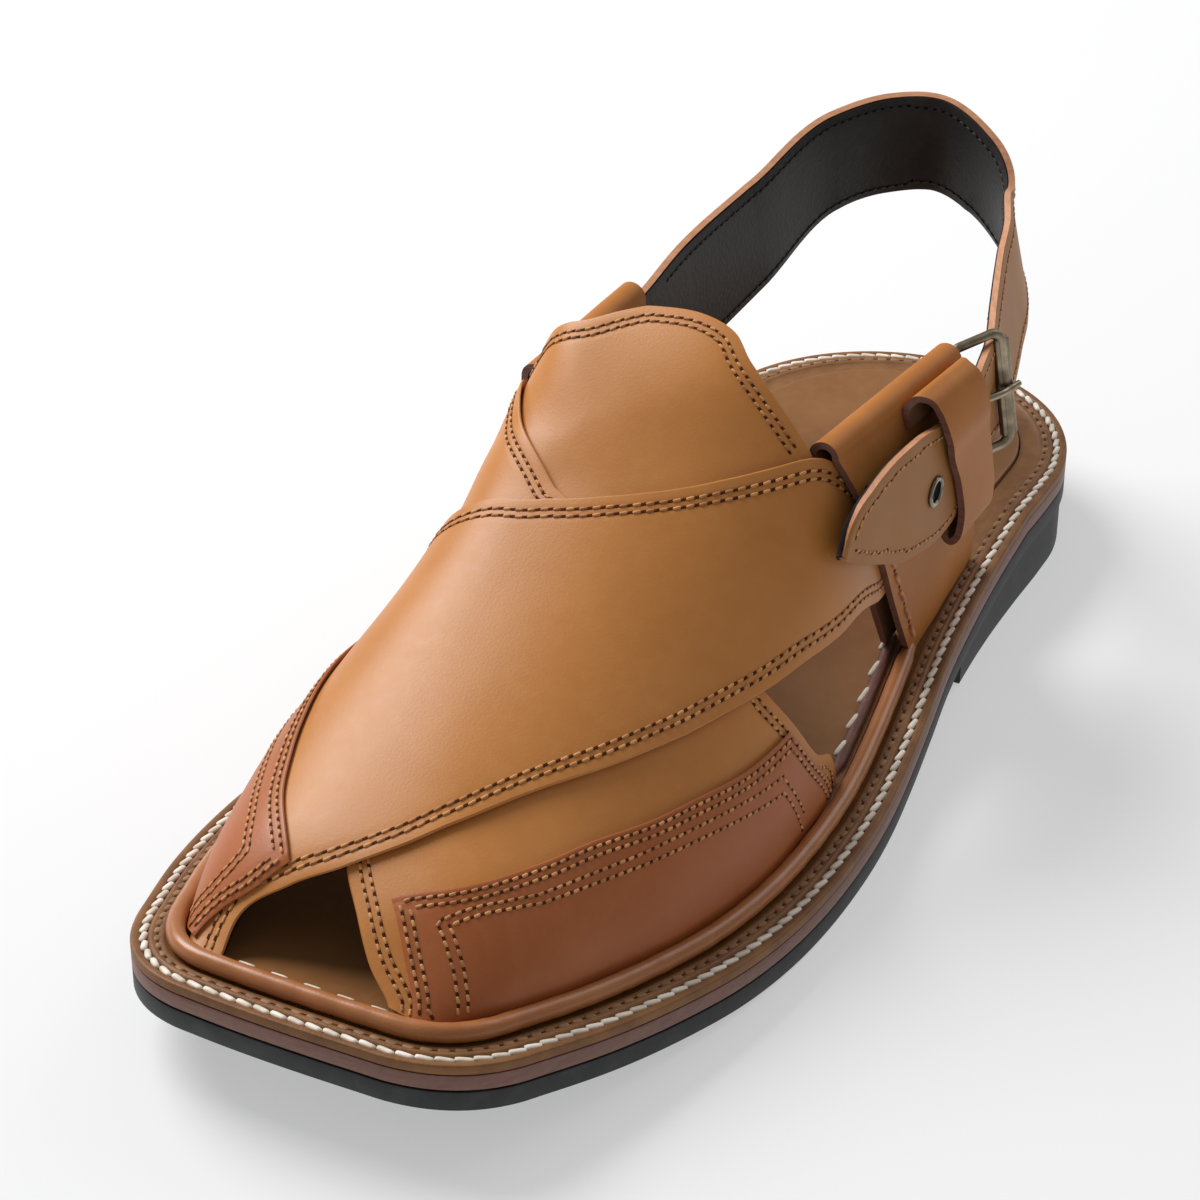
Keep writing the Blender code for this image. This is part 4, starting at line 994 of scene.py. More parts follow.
class Bench:
    """The few modelling steps that every piece uses."""

    @staticmethod
    def hold(piece: Optional[Piece]) -> None:
        """Selects one object alone and makes it active, or deselects all."""
        if bpy.context.object and bpy.context.object.mode != "OBJECT":
            bpy.ops.object.mode_set(mode="OBJECT")
        bpy.ops.object.select_all(action="DESELECT")
        if piece:
            piece.select_set(True)
            bpy.context.view_layer.objects.active = piece

    @classmethod
    def apply(cls, piece: Piece, kind: str, **settings: object) -> None:
        """Adds a modifier with its settings and applies it."""
        cls.hold(piece)
        modifier = piece.modifiers.new(kind.lower(), kind)
        for key, value in settings.items():
            setattr(modifier, key, value)
        bpy.ops.object.modifier_apply(modifier=modifier.name)

    @classmethod
    def grid(cls, name: str, points: Array, closed: bool = False) -> Piece:
        """Grid primitive with its corners laid on points.

        Args:
            name: Name of the piece.
            points: Rows and columns of places.
            closed: Whether coincident first and last lines are merged.

        Returns:
            The open sheet.
        """
        rows, columns = points.shape[:2]
        cls.hold(None)
        bpy.ops.mesh.primitive_grid_add(x_subdivisions=columns - 1, y_subdivisions=rows - 1, size=1.0)
        piece = bpy.context.object
        piece.name = piece.data.name = name
        piece.data.vertices.foreach_set("co", points.reshape(-1).astype(np.float32))
        if closed:
            cls.edit(piece)
            bpy.ops.mesh.remove_doubles(threshold=1e-6)
            bpy.ops.object.mode_set(mode="OBJECT")
        piece.data.update()
        return piece

    @classmethod
    def edit(cls, piece: Piece) -> None:
        """Opens a piece in edit mode with all of it selected."""
        cls.hold(piece)
        bpy.ops.object.mode_set(mode="EDIT")
        bpy.ops.mesh.select_all(action="SELECT")

    @classmethod
    def cap(cls, piece: Piece) -> None:
        """Closes the open rims of a piece and turns its faces outwards.

        Args:
            piece: The piece.
        """
        cls.edit(piece)
        bpy.ops.mesh.select_all(action="DESELECT")
        bpy.ops.mesh.select_mode(type="EDGE")
        bpy.ops.mesh.select_non_manifold(
            extend=False, use_wire=False, use_multi_face=False, use_non_contiguous=False, use_verts=False,
        )
        bpy.ops.mesh.edge_face_add()
        bpy.ops.mesh.select_mode(type="VERT")
        cls.face_outwards(piece)

    @classmethod
    def face_outwards(cls, piece: Piece) -> None:
        """Turns all the faces of a closed piece outwards."""
        cls.edit(piece)
        bpy.ops.mesh.normals_make_consistent(inside=False)
        bpy.ops.object.mode_set(mode="OBJECT")

    @classmethod
    def dress(
        cls, piece: Piece, materials: Materials, angle: float = 38.0,
    ) -> None:
        """Gives a piece its materials and smooth shading with sharp edges kept.

        Args:
            piece: The piece.
            materials: Its materials, in the order of its slots.
            angle: Edges sharper than this stay sharp, in degrees.
        """
        indices = np.zeros(len(piece.data.polygons), np.int32)
        piece.data.polygons.foreach_get("material_index", indices)
        piece.data.materials.clear()
        for material in materials:
            piece.data.materials.append(material)
        piece.data.polygons.foreach_set("material_index", np.minimum(indices, len(materials) - 1))
        cls.hold(piece)
        bpy.ops.object.shade_smooth_by_angle(angle=math.radians(angle))

    @classmethod
    def leather(
        cls, name: str, points: Array, wall: float, offset: float, materials: Materials,
    ) -> Piece:
        """Sheet of leather with a grain side, a cut edge and a flesh side.

        Args:
            name: Name of the piece.
            points: Rows and columns of places; faces look to the left of rows.
            wall: Thickness.
            offset: -1 if the points are the grain side, 0 if they are the middle.
            materials: Grain side, edge and flesh side.

        Returns:
            The closed piece.
        """
        piece = cls.grid(name, points)
        for material in materials:
            piece.data.materials.append(material)
        cls.apply(
            piece, "SOLIDIFY", thickness=wall, offset=offset,
            material_offset=Face.FLESH.value, material_offset_rim=Face.EDGE.value,
        )
        cls.dress(piece, materials)
        return piece

    @classmethod
    def wire(
        cls, name: str, points: Array, radius: float, widths: Optional[Array] = None,
        closed: bool = False, sides: int = 4,
    ) -> Piece:
        """Round wire along points.

        Args:
            name: Name of the piece.
            points: The wire's own line.
            radius: Its radius.
            widths: Share of the radius at each point.
            closed: Whether it is a ring.
            sides: Roundness, as Blender's bevel resolution.

        Returns:
            The wire as a mesh with capped ends.
        """
        cls.hold(None)
        bpy.ops.curve.primitive_nurbs_path_add()
        piece = bpy.context.object
        piece.name = name
        piece.data.splines.clear()
        piece.data.bevel_depth = radius
        piece.data.bevel_resolution = sides
        piece.data.use_fill_caps = True
        spline = piece.data.splines.new("POLY")
        spline.points.add(len(points) - 1)
        for index, place in enumerate(points):
            spline.points[index].co = (*place, 1.0)
            spline.points[index].radius = 1.0 if widths is None else float(widths[index])
        spline.use_cyclic_u = closed
        cls.hold(piece)
        bpy.ops.object.convert(target="MESH")
        piece = bpy.context.object
        cls.edit(piece)
        bpy.ops.mesh.remove_doubles(threshold=1e-6)
        bpy.ops.mesh.normals_make_consistent(inside=False)
        bpy.ops.object.mode_set(mode="OBJECT")
        return piece

    @classmethod
    def grain_ball(cls, size: Sequence[float], slant: float, place: Sequence[float]) -> Piece:
        """Small rounded bead, for a stitch or a hole, with its ends drawn in.

        Args:
            size: Its length, width and height.
            slant: How far it turns about Z.
            place: Where its middle lies.

        Returns:
            The bead.
        """
        cls.hold(None)
        bpy.ops.mesh.primitive_uv_sphere_add(
            segments=8, ring_count=6, radius=1.0, rotation=(0.0, math.pi / 2, 0.0),
        )
        piece = bpy.context.object
        bpy.ops.object.transform_apply(location=False, rotation=True, scale=False)
        for vert in piece.data.vertices:
            full = min(1.0, 1.25 * math.sqrt(max(0.0, 1 - vert.co.x**4)))
            radial = math.hypot(vert.co.y, vert.co.z)
            grow = full / radial if radial > 1e-6 else 1.0
            vert.co = (
                vert.co.x * size[0] / 2, vert.co.y * grow * size[1] / 2, vert.co.z * grow * size[2] / 2,
            )
        piece.data.transform(Matrix.Translation(place) @ Matrix.Rotation(slant, 4, "Z"))
        return piece

    @staticmethod
    def place(piece: Piece, node: str) -> None:
        """Lets a piece ride and stand for its solid."""
        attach(piece, BODY)
        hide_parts(node)
        LOG.info("%s: %d faces", piece.name, len(piece.data.polygons))

    @classmethod
    def join(cls, name: str, pieces: Sequence[Piece]) -> Piece:
        """Joins pieces into one, with its place in its mesh.

        Args:
            name: Name of the joined piece.
            pieces: What is joined; the first keeps its slots.

        Returns:
            The joined piece.
        """
        cls.hold(pieces[0])
        for piece in pieces:
            piece.select_set(True)
        bpy.ops.object.join()
        made = bpy.context.object
        made.name = made.data.name = name
        bpy.ops.object.transform_apply(location=True, rotation=True, scale=True)
        return made


@dataclass(frozen=True)
class Stitch:
    """One stitch and the hole that follows it, lying along X with Z out of the leather.

    Attributes:
        length: Length of the thread.
        width: Width of the thread.
        height: Height of the whole thread; half of it stands out.
        pitch: Distance from stitch to stitch.
        slant: How far it turns from its row, in degrees.
        hole: Length and width of the hole's bead of painted shadow, or nothing.
        lift: How far its middle stands over the leather.
        hole_height: Height of that bead of painted shadow.
        ahead: How far ahead the row's direction is read.
    """

    length: float
    width: float
    height: float
    pitch: float
    slant: float = 0.0
    hole: Optional[tuple[float, float]] = None
    lift: float = 0.0
    hole_height: float = 0.16 * MM
    ahead: float = 0.3 * MM

    def model(self, materials: Materials) -> Piece:
        """Models the stitch once, for copying.

        Args:
            materials: Thread and hole.

        Returns:
            The stitch with its hole.
        """
        thread = Bench.grain_ball(
            (self.length, self.width, self.height), math.radians(self.slant), (0.0, 0.0, self.lift),
        )
        thread.data.materials.append(materials[0])
        parts = [thread]
        # Each hole is a dark bead of painted shadow.
        if self.hole:
            size = (*self.hole, self.hole_height)
            hole = Bench.grain_ball(size, math.radians(self.slant), (self.pitch / 2, 0.0, 0.0))
            hole.data.materials.append(materials[1])
            parts.append(hole)
        made = Bench.join("stitch_model", parts)
        Bench.hold(made)
        bpy.ops.object.shade_smooth()
        return made

    def sew(self, name: str, rows: Sequence[Row], materials: Materials) -> None:
        """Copies the stitch along rows.

        Args:
            name: Name of the piece.
            rows: For each row its points and the directions out of the leather there.
            materials: Thread and hole.
        """
        model = self.model(materials)
        copies = []
        for points, normals in rows:
            marks = marks_of(points)
            count = int(marks[-1] / self.pitch)
            if count < 1:
                continue
            at = (np.arange(count) + 0.5) * self.pitch
            place, ahead = read_along(marks, points, at), read_along(marks, points, at + self.ahead)
            out = unit(read_along(marks, normals, at))
            for middle, forward, up in zip(place, ahead, out):
                run = Vector(forward - middle).normalized()
                up = Vector(up)
                side = up.cross(run).normalized()
                turn = Matrix((run, side, run.cross(side))).transposed().to_4x4()
                copy = model.copy()
                copy.data = model.data.copy()
                copy.matrix_world = Matrix.Translation(middle) @ turn
                bpy.context.scene.collection.objects.link(copy)
                copies.append(copy)
        bpy.data.objects.remove(model)
        if copies:
            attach(Bench.join(name, copies), BODY)
            LOG.info("%s: %d stitches", name, len(copies))


MACHINE = Stitch(
    1.35 * MM, 0.6 * MM, 0.5 * MM, 2.05 * MM, slant=9.0, hole=(1.0 * MM, 0.6 * MM), lift=0.04 * MM,
)
LONG_MACHINE = Stitch(
    1.7 * MM, 0.62 * MM, 0.5 * MM, 2.6 * MM, slant=7.0, hole=(1.35 * MM, 0.62 * MM), lift=0.04 * MM,
)
HAND = Stitch(5.2 * MM, 1.05 * MM, 0.9 * MM, 7.2 * MM, slant=5.0, hole=(1.3 * MM, 0.9 * MM), lift=0.2 * MM)
LOCK = Stitch(3.7 * MM, 1.35 * MM, 1.1 * MM, 3.55 * MM, slant=-13.0, lift=0.25 * MM)
STRIP = Stitch(
    2.3 * MM, 1.5 * MM, 0.6 * MM, 3.15 * MM, slant=-14.0, hole=(1.45 * MM, 1.15 * MM), lift=-0.02 * MM,
)
FOOTBED = Stitch(3.7 * MM, 0.7 * MM, 0.6 * MM, 6.9 * MM, lift=0.05 * MM)
GAP_STITCH = Stitch(5.4 * MM, 1.3 * MM, 1.1 * MM, 9.2 * MM, slant=-10.0)


@dataclass
class Sheet:
    """A piece of leather on the last: its grid, its rise, and the rows sewn inside its edges.

    Attributes:
        flat: Grid of (station, across), front to rear by foot to end.
        rise: Rise of the grain side over the last.
        swell: Height of its slight unevenness.
        swell_size: Length of one swell.
        edge_turn: Radius of a turned-down edge.
        dip: Depth of the dip along a sewn row.
        dip_width: Half width of that dip.
        step: Distance between the points of a sewn row.
    """

    flat: Array
    rise: Rise
    swell: float = 0.16 * MM
    swell_size: float = 0.05
    edge_turn: float = 0.35 * MM
    dip: float = 0.10 * MM
    dip_width: float = 0.55 * MM
    step: float = 0.0012

    def edge(self, which: str) -> Array:
        """Places along one edge, by name: front, rear, foot or end."""
        return {
            "front": self.flat[0], "rear": self.flat[-1], "foot": self.flat[:, 0], "end": self.flat[:, -1],
        }[which]

    def on_last(self, flat: Array, extra: Array = 0.0) -> Array:
        """Points of the grain side with its slight unevenness, moved out by extra."""
        swell = self.swell * wander(Last.base(flat[..., 0], flat[..., 1]), self.swell_size)
        return Last.surface(flat, self.rise(flat) + swell + extra)

    def row(self, which: str, distance: float, clear_of: Sequence[str] = ()) -> Array:
        """Places of a row that runs a distance inside an edge.

        Args:
            which: The edge.
            distance: How far inside it the row runs.
            clear_of: Edges that the row stops short of by the same distance.

        Returns:
            Places, with station and across.
        """
        lines = {
            "front": self.flat.transpose(1, 0, 2), "rear": self.flat[::-1].transpose(1, 0, 2),
            "foot": self.flat, "end": self.flat[:, ::-1],
        }[which]
        edge = self.on_last(self.edge(which))
        gap = line_distance(self.on_last(lines), edge)
        found = []
        for line, far in zip(lines, gap):
            k = int(np.argmax(far > distance))
            if k == 0:
                continue
            share = (distance - far[k - 1]) / max(far[k] - far[k - 1], 1e-9)
            found.append(line[k - 1] + share * (line[k] - line[k - 1]))
        path = np.array(found)
        for other in clear_of:
            path = path[line_distance(self.on_last(path), self.on_last(self.edge(other))) > distance]
        return path

    def sewn(self, path: Array) -> Row:
        """Points and outward directions of a row of places."""
        line = path * FLAT_SCALE
        count = max(8, int(marks_of(line)[-1] / self.step))
        path = resample(line, np.linspace(0, 1, count), False) / FLAT_SCALE
        return self.on_last(path), Last.normal(path[:, 0], path[:, 1])

    def points(self, rows: Sequence[tuple[str, float]], round_over: Sequence[str]) -> Array:
        """Grid of points with turned-down edges and a dip along each sewn row.

        Args:
            rows: Edge and distance of each sewn row.
            round_over: Edges that are turned down.

        Returns:
            Rows and columns of points, facing outwards.
        """
        plain = self.on_last(self.flat)
        extra = np.zeros(plain.shape[:-1])
        names = {*round_over, *(name for name, _ in rows)}
        far = {name: line_distance(plain, self.on_last(self.edge(name))) for name in names}
        radius = self.edge_turn
        for name in round_over:
            inside = np.clip(radius - far[name], 0.0, radius)
            extra = extra - (radius - np.sqrt(np.maximum(radius**2 - inside**2, 0.0)))
        for name, distance in rows:
            extra = extra - self.dip * np.exp(-(((far[name] - distance) / self.dip_width) ** 2))
        return self.on_last(self.flat, extra)


@dataclass
class Upper:
    """The crossed bands, the tongue and the two panels."""

    finishes: Finishes

    # Thickness of the bands and the panels, and how far a panel's lower edge lies over the foot of the last.
    upper_wall: float = 0.0019
    overlay_wall: float = 0.0012
    panel_foot: float = 0.0014

    # Double rows: inset on bands and on panels, distance between the lines, and where they stop by a band.
    edge_row: float = 2.6 * MM
    panel_row: float = 1.25 * MM
    row_gap: float = 1.6 * MM
    covered: float = 0.0004

    # Grids of the upper band, the band that crosses under it, and the tongue with its lines.
    tongue_steps: int = 46
    band_a: Sheet = field(init=False)
    band_b: Sheet = field(init=False)
    tongue: Sheet = field(init=False)

    def __post_init__(self) -> None:
        """Lays the grids of the three main pieces."""
        across, along = dense_ends(66), np.linspace(0.0, 1.0, 140)
        self.band_a = self.band(BAND_A_FRONT, BAND_A_REAR, BAND_A_FOOT, across, along, no_rise)
        self.band_b = self.band(BAND_B_FRONT, BAND_B_REAR, BAND_B_FOOT, across, along, band_b_rise)
        count = self.tongue_steps
        steps = np.linspace(0.0, 1.0, count)
        even = patch(
            even_path(TONGUE_FRONT, along), even_path(TONGUE_REAR, along),
            np.linspace(TONGUE_FRONT[0], TONGUE_REAR[0], count),
            np.linspace(TONGUE_FRONT[-1], TONGUE_REAR[-1], count), steps, along,
        )
        crowded = 1 - (1 - steps) ** 1.5
        flat = np.stack([
            np.stack([np.interp(crowded, steps, even[:, j, axis]) for axis in (0, 1)], axis=-1)
            for j in range(even.shape[1])
        ], axis=1)
        self.tongue = Sheet(flat, tongue_rise)

    @staticmethod
    def band(
        front: Rows, rear: Rows, foot: Rows, across: Array, along: Array, rise: Rise,
    ) -> Sheet:
        """Grid of one band.

        Args:
            front: Its front edge.
            rear: Its rear edge.
            foot: Its root on the sole.
            across: Shares from front to rear.
            along: Shares from the foot to the end.
            rise: Rise of its grain side over the last.

        Returns:
            The band's sheet.
        """
        end = np.asarray(front[-1]) + across[:, None] * (np.asarray(rear[-1]) - np.asarray(front[-1]))
        flat = patch(
            even_path(front, along), even_path(rear, along), even_path(foot, across, False), end,
            across, along,
        )
        return Sheet(flat, rise)

    def lay(
        self, name: str, node: str, sheet: Sheet, wall: float, rows: Sequence[tuple[str, float]],
        edges: Sequence[str], materials: Materials,
    ) -> None:
        """Makes a leather piece of a sheet, and lets it ride and stand for its solid.

        Args:
            name: Name of the piece.
            node: The solid.
            sheet: Its grid.
            wall: Its thickness.
            rows: Edge and distance of each sewn row.
            edges: Edges that are turned down.
            materials: Grain side, edge and flesh side.
        """
        points = sheet.points(rows, edges)
        row, line = points.shape[0] // 2, points.shape[1] // 2
        middle = points[row, line]
        centre = np.array([0.0, middle[1], float(Last.underside(middle[1])) + WELT_TOP])
        piece = Bench.leather(name, facing(points, row, line, middle - centre), wall, -1.0, materials)
        for vert in piece.data.vertices:
            vert.co.z = max(vert.co.z, float(Last.underside(vert.co.y)) + UPPER_FOOT)
        Bench.place(piece, node)

    def bare(self, path: Array, *bands: tuple[Rows, Rows]) -> Array:
        """The part of a row that no band covers."""
        for front, rear in bands:
            path = path[outside_distance(path, front, rear) > self.covered]
        return path

    def build_bands(self) -> None:
        """Builds the bands and the tongue with their double rows."""
        f, sides = self.finishes, ("front", "rear")
        both = [(edge, self.edge_row + gap) for edge in sides for gap in (0.0, self.row_gap)]
        for name, sheet, rows, edges in (
            ("band_over_instep", self.band_a, both, sides),
            ("band_crossing_under", self.band_b, both, sides),
            ("tongue_leather", self.tongue, both[2:], ("rear",)),
        ):
            # Their undersides carry the dark lining with painted shade.
            self.lay(name, "upper", sheet, self.upper_wall, rows, edges, (f.band, f.raw_edge, f.inside))
        over, under = (BAND_A_FRONT, BAND_A_REAR), (BAND_B_FRONT, BAND_B_REAR)
        for name, stitch, sheet, rows, bands in (
            ("stitches_band_over_instep", LONG_MACHINE, self.band_a, both, ()),
            ("stitches_band_crossing_under", MACHINE, self.band_b, both, (over,)),
            ("stitches_tongue", MACHINE, self.tongue, both[2:], (over, under)),
        ):
            lines = [sheet.sewn(self.bare(sheet.row(edge, distance), *bands)) for edge, distance in rows]
            stitch.sew(name, lines, (f.gold_thread, f.hole))

    def build_panel(
        self, name: str, node: str, top: Rows, front: Rows, rear: Rows, side: Side, inner: Rows,
        under: Rise,
    ) -> None:
        """Builds one panel with its double rows.

        Args:
            name: Name of the piece.
            node: The solid that it stands for.
            top: Its upper edge.
            front: Its front edge.
            rear: Its rear edge.
            side: Side of the shoe.
            inner: Middle of its inner double row.
            under: Rise of the band that it lies on.
        """
        along, across = np.linspace(0.0, 1.0, 120), dense_ends(44)
        stations = np.linspace(front[-1][0], rear[-1][0], 40)
        height, _, medial, lateral = Last.sections(Last.sole_y(stations))
        power = medial if side is Side.MEDIAL else lateral
        share = np.clip(self.panel_foot / height, 0.0, 0.6)
        aside = side.value * np.arcsin((1 - share**power) ** (1 / power)) * 2 / math.pi
        foot = np.column_stack([stations, aside])
        front_rows = np.vstack([np.asarray(front)[:-1], foot[0]])
        rear_rows = np.vstack([np.asarray(rear)[:-1], foot[-1]])
        flat = patch(
            even_path(top, along), even_path(foot, along), even_path(front_rows, across),
            even_path(rear_rows, across), across, along,
        )
        sheet = Sheet(flat, panel_rise(under))
        f, edges = self.finishes, ("front", "foot", "end")
        sewn = [(edge, self.panel_row + gap) for edge in edges for gap in (0.0, self.row_gap)]
        self.lay(name, node, sheet, self.overlay_wall, sewn, edges, (f.panel, f.raw_edge, f.flesh))
        others = {"front": ("foot", "end"), "foot": ("front",), "end": ("front",)}
        rows = [sheet.sewn(sheet.row(edge, distance, others[edge])) for edge, distance in sewn]
        rows += self.inner_rows(sheet, inner)
        MACHINE.sew("stitches_" + name, rows, (f.gold_thread, f.hole))

    def inner_rows(self, sheet: Sheet, inner: Rows) -> list[Row]:
        """Inner double row of a panel, mitred at its corners.

        Args:
            sheet: The panel.
            inner: Middle of the double row.

        Returns:
            Points and outward directions of its two lines.
        """
        scaled = np.asarray(inner) * FLAT_SCALE
        run = unit(np.diff(scaled, axis=0))
        aside = np.column_stack([-run[:, 1], run[:, 0]])
        joint = np.vstack([aside[:1], unit(aside[:-1] + aside[1:]), aside[-1:]])
        width = 1 / np.maximum((joint * np.vstack([aside[:1], aside])).sum(1), 0.4)
        return [
            sheet.sewn((scaled + shift * self.row_gap * joint * width[:, None]) / FLAT_SCALE)
            for shift in (-0.5, 0.5)
        ]

    def build(self) -> None:
        """Builds the whole upper."""
        self.build_bands()
        self.build_panel(
            "panel_medial", "overlay_medial", OVERLAY_MEDIAL_TOP, OVERLAY_MEDIAL_FRONT, OVERLAY_MEDIAL_REAR,
            Side.MEDIAL, PANEL_ROW_MEDIAL, no_rise,
        )
        self.build_panel(
            "panel_lateral", "overlay_lateral", OVERLAY_LATERAL_TOP, OVERLAY_LATERAL_FRONT,
            OVERLAY_LATERAL_REAR, Side.LATERAL, PANEL_ROW_LATERAL, band_b_rise,
        )


@dataclass
class Sole:
    """The stack of the sole with its welt, bead, footbed and the stitches on them."""

    finishes: Finishes

    # Heights of the layers over the underside, and the easing of their rims.
    outsole_top: float = 0.0043
    midsole_bottom: float = 0.0046
    midsole_top: float = 0.0080
    welt_bottom: float = 0.0083
    insole_top: float = 0.0111
    rim: float = 0.35 * MM

    # Heel: station of its straight front face, and how far it lies inside the outsole's edge.
    heel_breast: float = 0.332
    heel_inset: float = 0.6 * MM

    # Welt: width, and its section from the edge to the bead as distances inwards and heights, in millimetres.
    welt_width: float = 0.0107
    groove: Rows = (
        (0.12, -0.1), (0.45, 0.05), (1.2, 0.1), (1.65, -0.05), (1.85, -0.55), (2.4, -0.75), (3.0, -0.6),
        (3.25, -0.15), (3.6, 0.35), (4.1, 0.5), (4.6, 0.35), (5.0, 0.25), (5.5, 0.38), (6.0, 0.5), (6.4, 0.3),
        (6.8, 0.0), (8.5, -0.05),
    )

    # Bead: radius, distance inside the sole's edge, and how far its ends tuck under the sleeves.
    rand_radius: float = 0.0019
    rand_inset: float = 0.0085
    bead_tuck: float = 1.5 * MM

    # Rows: distances inside the edge, or for the toe inside the welt, and shares of the way round the sole.
    lock_inset: float = 2.4 * MM
    strip_inset: float = 5.0 * MM
    toe_inset: float = 3.0 * MM
    toe_share: tuple[float, float] = (0.455, 0.56)
    gap_shares: tuple[tuple[float, float], ...] = ((0.187, 0.258), (0.735, 0.80))

    # Seam ridge in the side gaps: distance inside the edge, and radius.
    ridge_inset: float = welt_width + 2.4 * MM
    ridge_radius: float = 1.35 * MM

    def slab(self, name: str, inset: float, bottom: float, top: float, materials: Materials) -> None:
        """Slab of the sole with eased rims.

        Args:
            name: The solid that it stands for; the piece is named after it.
            inset: How far its edge lies inside the sole's.
            bottom: Height of its bottom over the underside.
            top: Height of its top.
            materials: Its materials.
        """
        r = self.rim
        profile = (
            (3 * r, bottom), (r, bottom), (0.3 * r, bottom + 0.3 * r), (0.0, bottom + r),
            (0.0, (bottom + top) / 2), (0.0, top - r), (0.3 * r, top - 0.3 * r), (r, top), (3 * r, top),
        )
        piece = Bench.grid(name + "_piece", self.rings(profile, inset), closed=True)
        Bench.cap(piece)
        self.cut_across(piece)
        self.bend(piece)
        Bench.dress(piece, materials)
        Bench.place(piece, name)

    @staticmethod
    def rings(profile: Rows, inset: float = 0.0, count: int = 420) -> Array:
        """Outlines of the sole, one for each row of a profile.

        Args:
            profile: Distance inwards and height of each ring.
            inset: Distance inwards of them all.
            count: Points in a ring.

        Returns:
            One closed ring a row, its first point repeated at its end.
        """
        points = np.array([
            np.column_stack([Last.outline(inset + step, count), np.full(count, height)])
            for step, height in profile
        ])
        return np.concatenate([points, points[:, :1]], axis=1)

    @staticmethod
    def cut_across(piece: Piece, stations: Optional[Array] = None) -> None:
        """Cuts a flat slab across, so that it can follow the profile.

        Args:
            piece: The slab.
            stations: Where it is cut; without them, along the waist and the toe spring.
        """
        if stations is None:
            stations = np.concatenate([
                np.linspace(SEAT_STATION, BALL_BACK_STATION, 24), np.linspace(BALL_FRONT_STATION, 0.995, 24),
            ])
        Bench.edit(piece)
        for y in Last.sole_y(stations):
            bpy.ops.mesh.select_all(action="SELECT")
            bpy.ops.mesh.bisect(plane_co=(0.0, float(y), 0.0), plane_no=(0.0, -1.0, 0.0), threshold=1e-6)
        bpy.ops.object.mode_set(mode="OBJECT")

    @staticmethod
    def bend(piece: Piece) -> None:
        """Lifts a flat slab onto the profile of the underside."""
        places = np.zeros(len(piece.data.vertices) * 3)
        piece.data.vertices.foreach_get("co", places)
        places = places.reshape(-1, 3)
        places[:, 2] += Last.underside(places[:, 1])
        piece.data.vertices.foreach_set("co", places.reshape(-1))
        piece.data.update()

    def build_heel(self) -> None:
        """Heel block, cut straight at its breast."""
        r = self.rim
        profile = (
            (3 * r, 0.0), (r, 0.0), (0.3 * r, 0.3 * r), (0.0, r), (0.0, HEEL_HEIGHT / 2), (0.0, HEEL_HEIGHT),
        )
        piece = Bench.grid("heel_piece", self.rings(profile, self.heel_inset), closed=True)
        Bench.cap(piece)
        breast = float(Last.sole_y(self.heel_breast))
        Bench.edit(piece)
        bpy.ops.mesh.bisect(
            plane_co=(0.0, breast, 0.0), plane_no=(0.0, -1.0, 0.0), use_fill=True, clear_outer=True,
            threshold=1e-7,
        )
        bpy.ops.object.mode_set(mode="OBJECT")
        self.cut_across(piece, np.linspace(SEAT_STATION, self.heel_breast - 0.004, 9))
        for vert in piece.data.vertices:
            if vert.co.z > HEEL_HEIGHT * 0.75:
                vert.co.z = float(Last.underside(vert.co.y)) - SEAM_GAP
            elif vert.co.z > r * 1.5:
                vert.co.z = (float(Last.underside(vert.co.y)) - SEAM_GAP) / 2
        Bench.face_outwards(piece)
        Bench.dress(piece, (self.finishes.rubber,))
        Bench.place(piece, "heel")

    def build_welt(self) -> None:
        """Welt with a groove for the lockstitch and a raised strip beside the bead."""
        top = WELT_TOP
        profile = (
            (0.0, self.welt_bottom), (0.0, top - 0.4 * MM),
            *((step * MM, top + height * MM) for step, height in self.groove),
            (self.welt_width, top), (self.welt_width, self.welt_bottom), (0.0, self.welt_bottom),
        )
        points = self.rings(profile, count=600)
        points[..., 2] += Last.underside(points[..., 1])
        piece = Bench.grid("welt_piece", points, closed=True)
        Bench.face_outwards(piece)
        Bench.dress(piece, (self.finishes.welt,), 60.0)
        Bench.place(piece, "welt")

    @staticmethod
    def ring_row(inset: float, height: float, start: float = 0.0, end: float = 1.0) -> Row:
        """Row along the sole's edge.

        Args:
            inset: How far inside the edge.
            height: Height over the underside.
            start: Share of the way round where it starts, from the back of the heel by the lateral side.
            end: Share of the way round where it ends.

        Returns:
            Points and upward directions.
        """
        ring = Last.outline(inset, 900)
        ring = np.vstack([ring, ring[:1]])[int(start * 900):int(end * 900) + 1]
        points = np.column_stack([ring, Last.underside(ring[:, 1]) + height])
        slope = (Last.underside(ring[:, 1] + MM) - Last.underside(ring[:, 1] - MM)) / (2 * MM)
        return points, unit(np.column_stack([0 * slope, -slope, 1 + 0 * slope]))

    def build_bead(self) -> None:
        """Rolled bead round the foot of the upper, open behind the quarters."""
        ring = Last.outline(self.rand_inset, 900)
        medial, lateral = (float(Last.sole_y(table[0][1])) for table in (QUARTER_MEDIAL, QUARTER_LATERAL))
        keep = np.array([y < (lateral if x > 0 else medial) + self.bead_tuck for x, y in ring])
        line = ring[keep]
        points = np.column_stack([line, Last.underside(line[:, 1]) + WELT_TOP + SEAM_GAP + self.rand_radius])
        widths = 1 + 0.035 * wander(points, 0.011) + 0.02 * wander(points, 0.004, 1.0)
        taper = np.linspace(0.7, 1.0, 8)
        widths[:8] *= taper
        widths[-8:] *= taper[::-1]
        piece = Bench.wire("bead_piece", points[::2], self.rand_radius, widths[::2], sides=5)
        Bench.dress(piece, (self.finishes.bead,))
        Bench.place(piece, "rand")

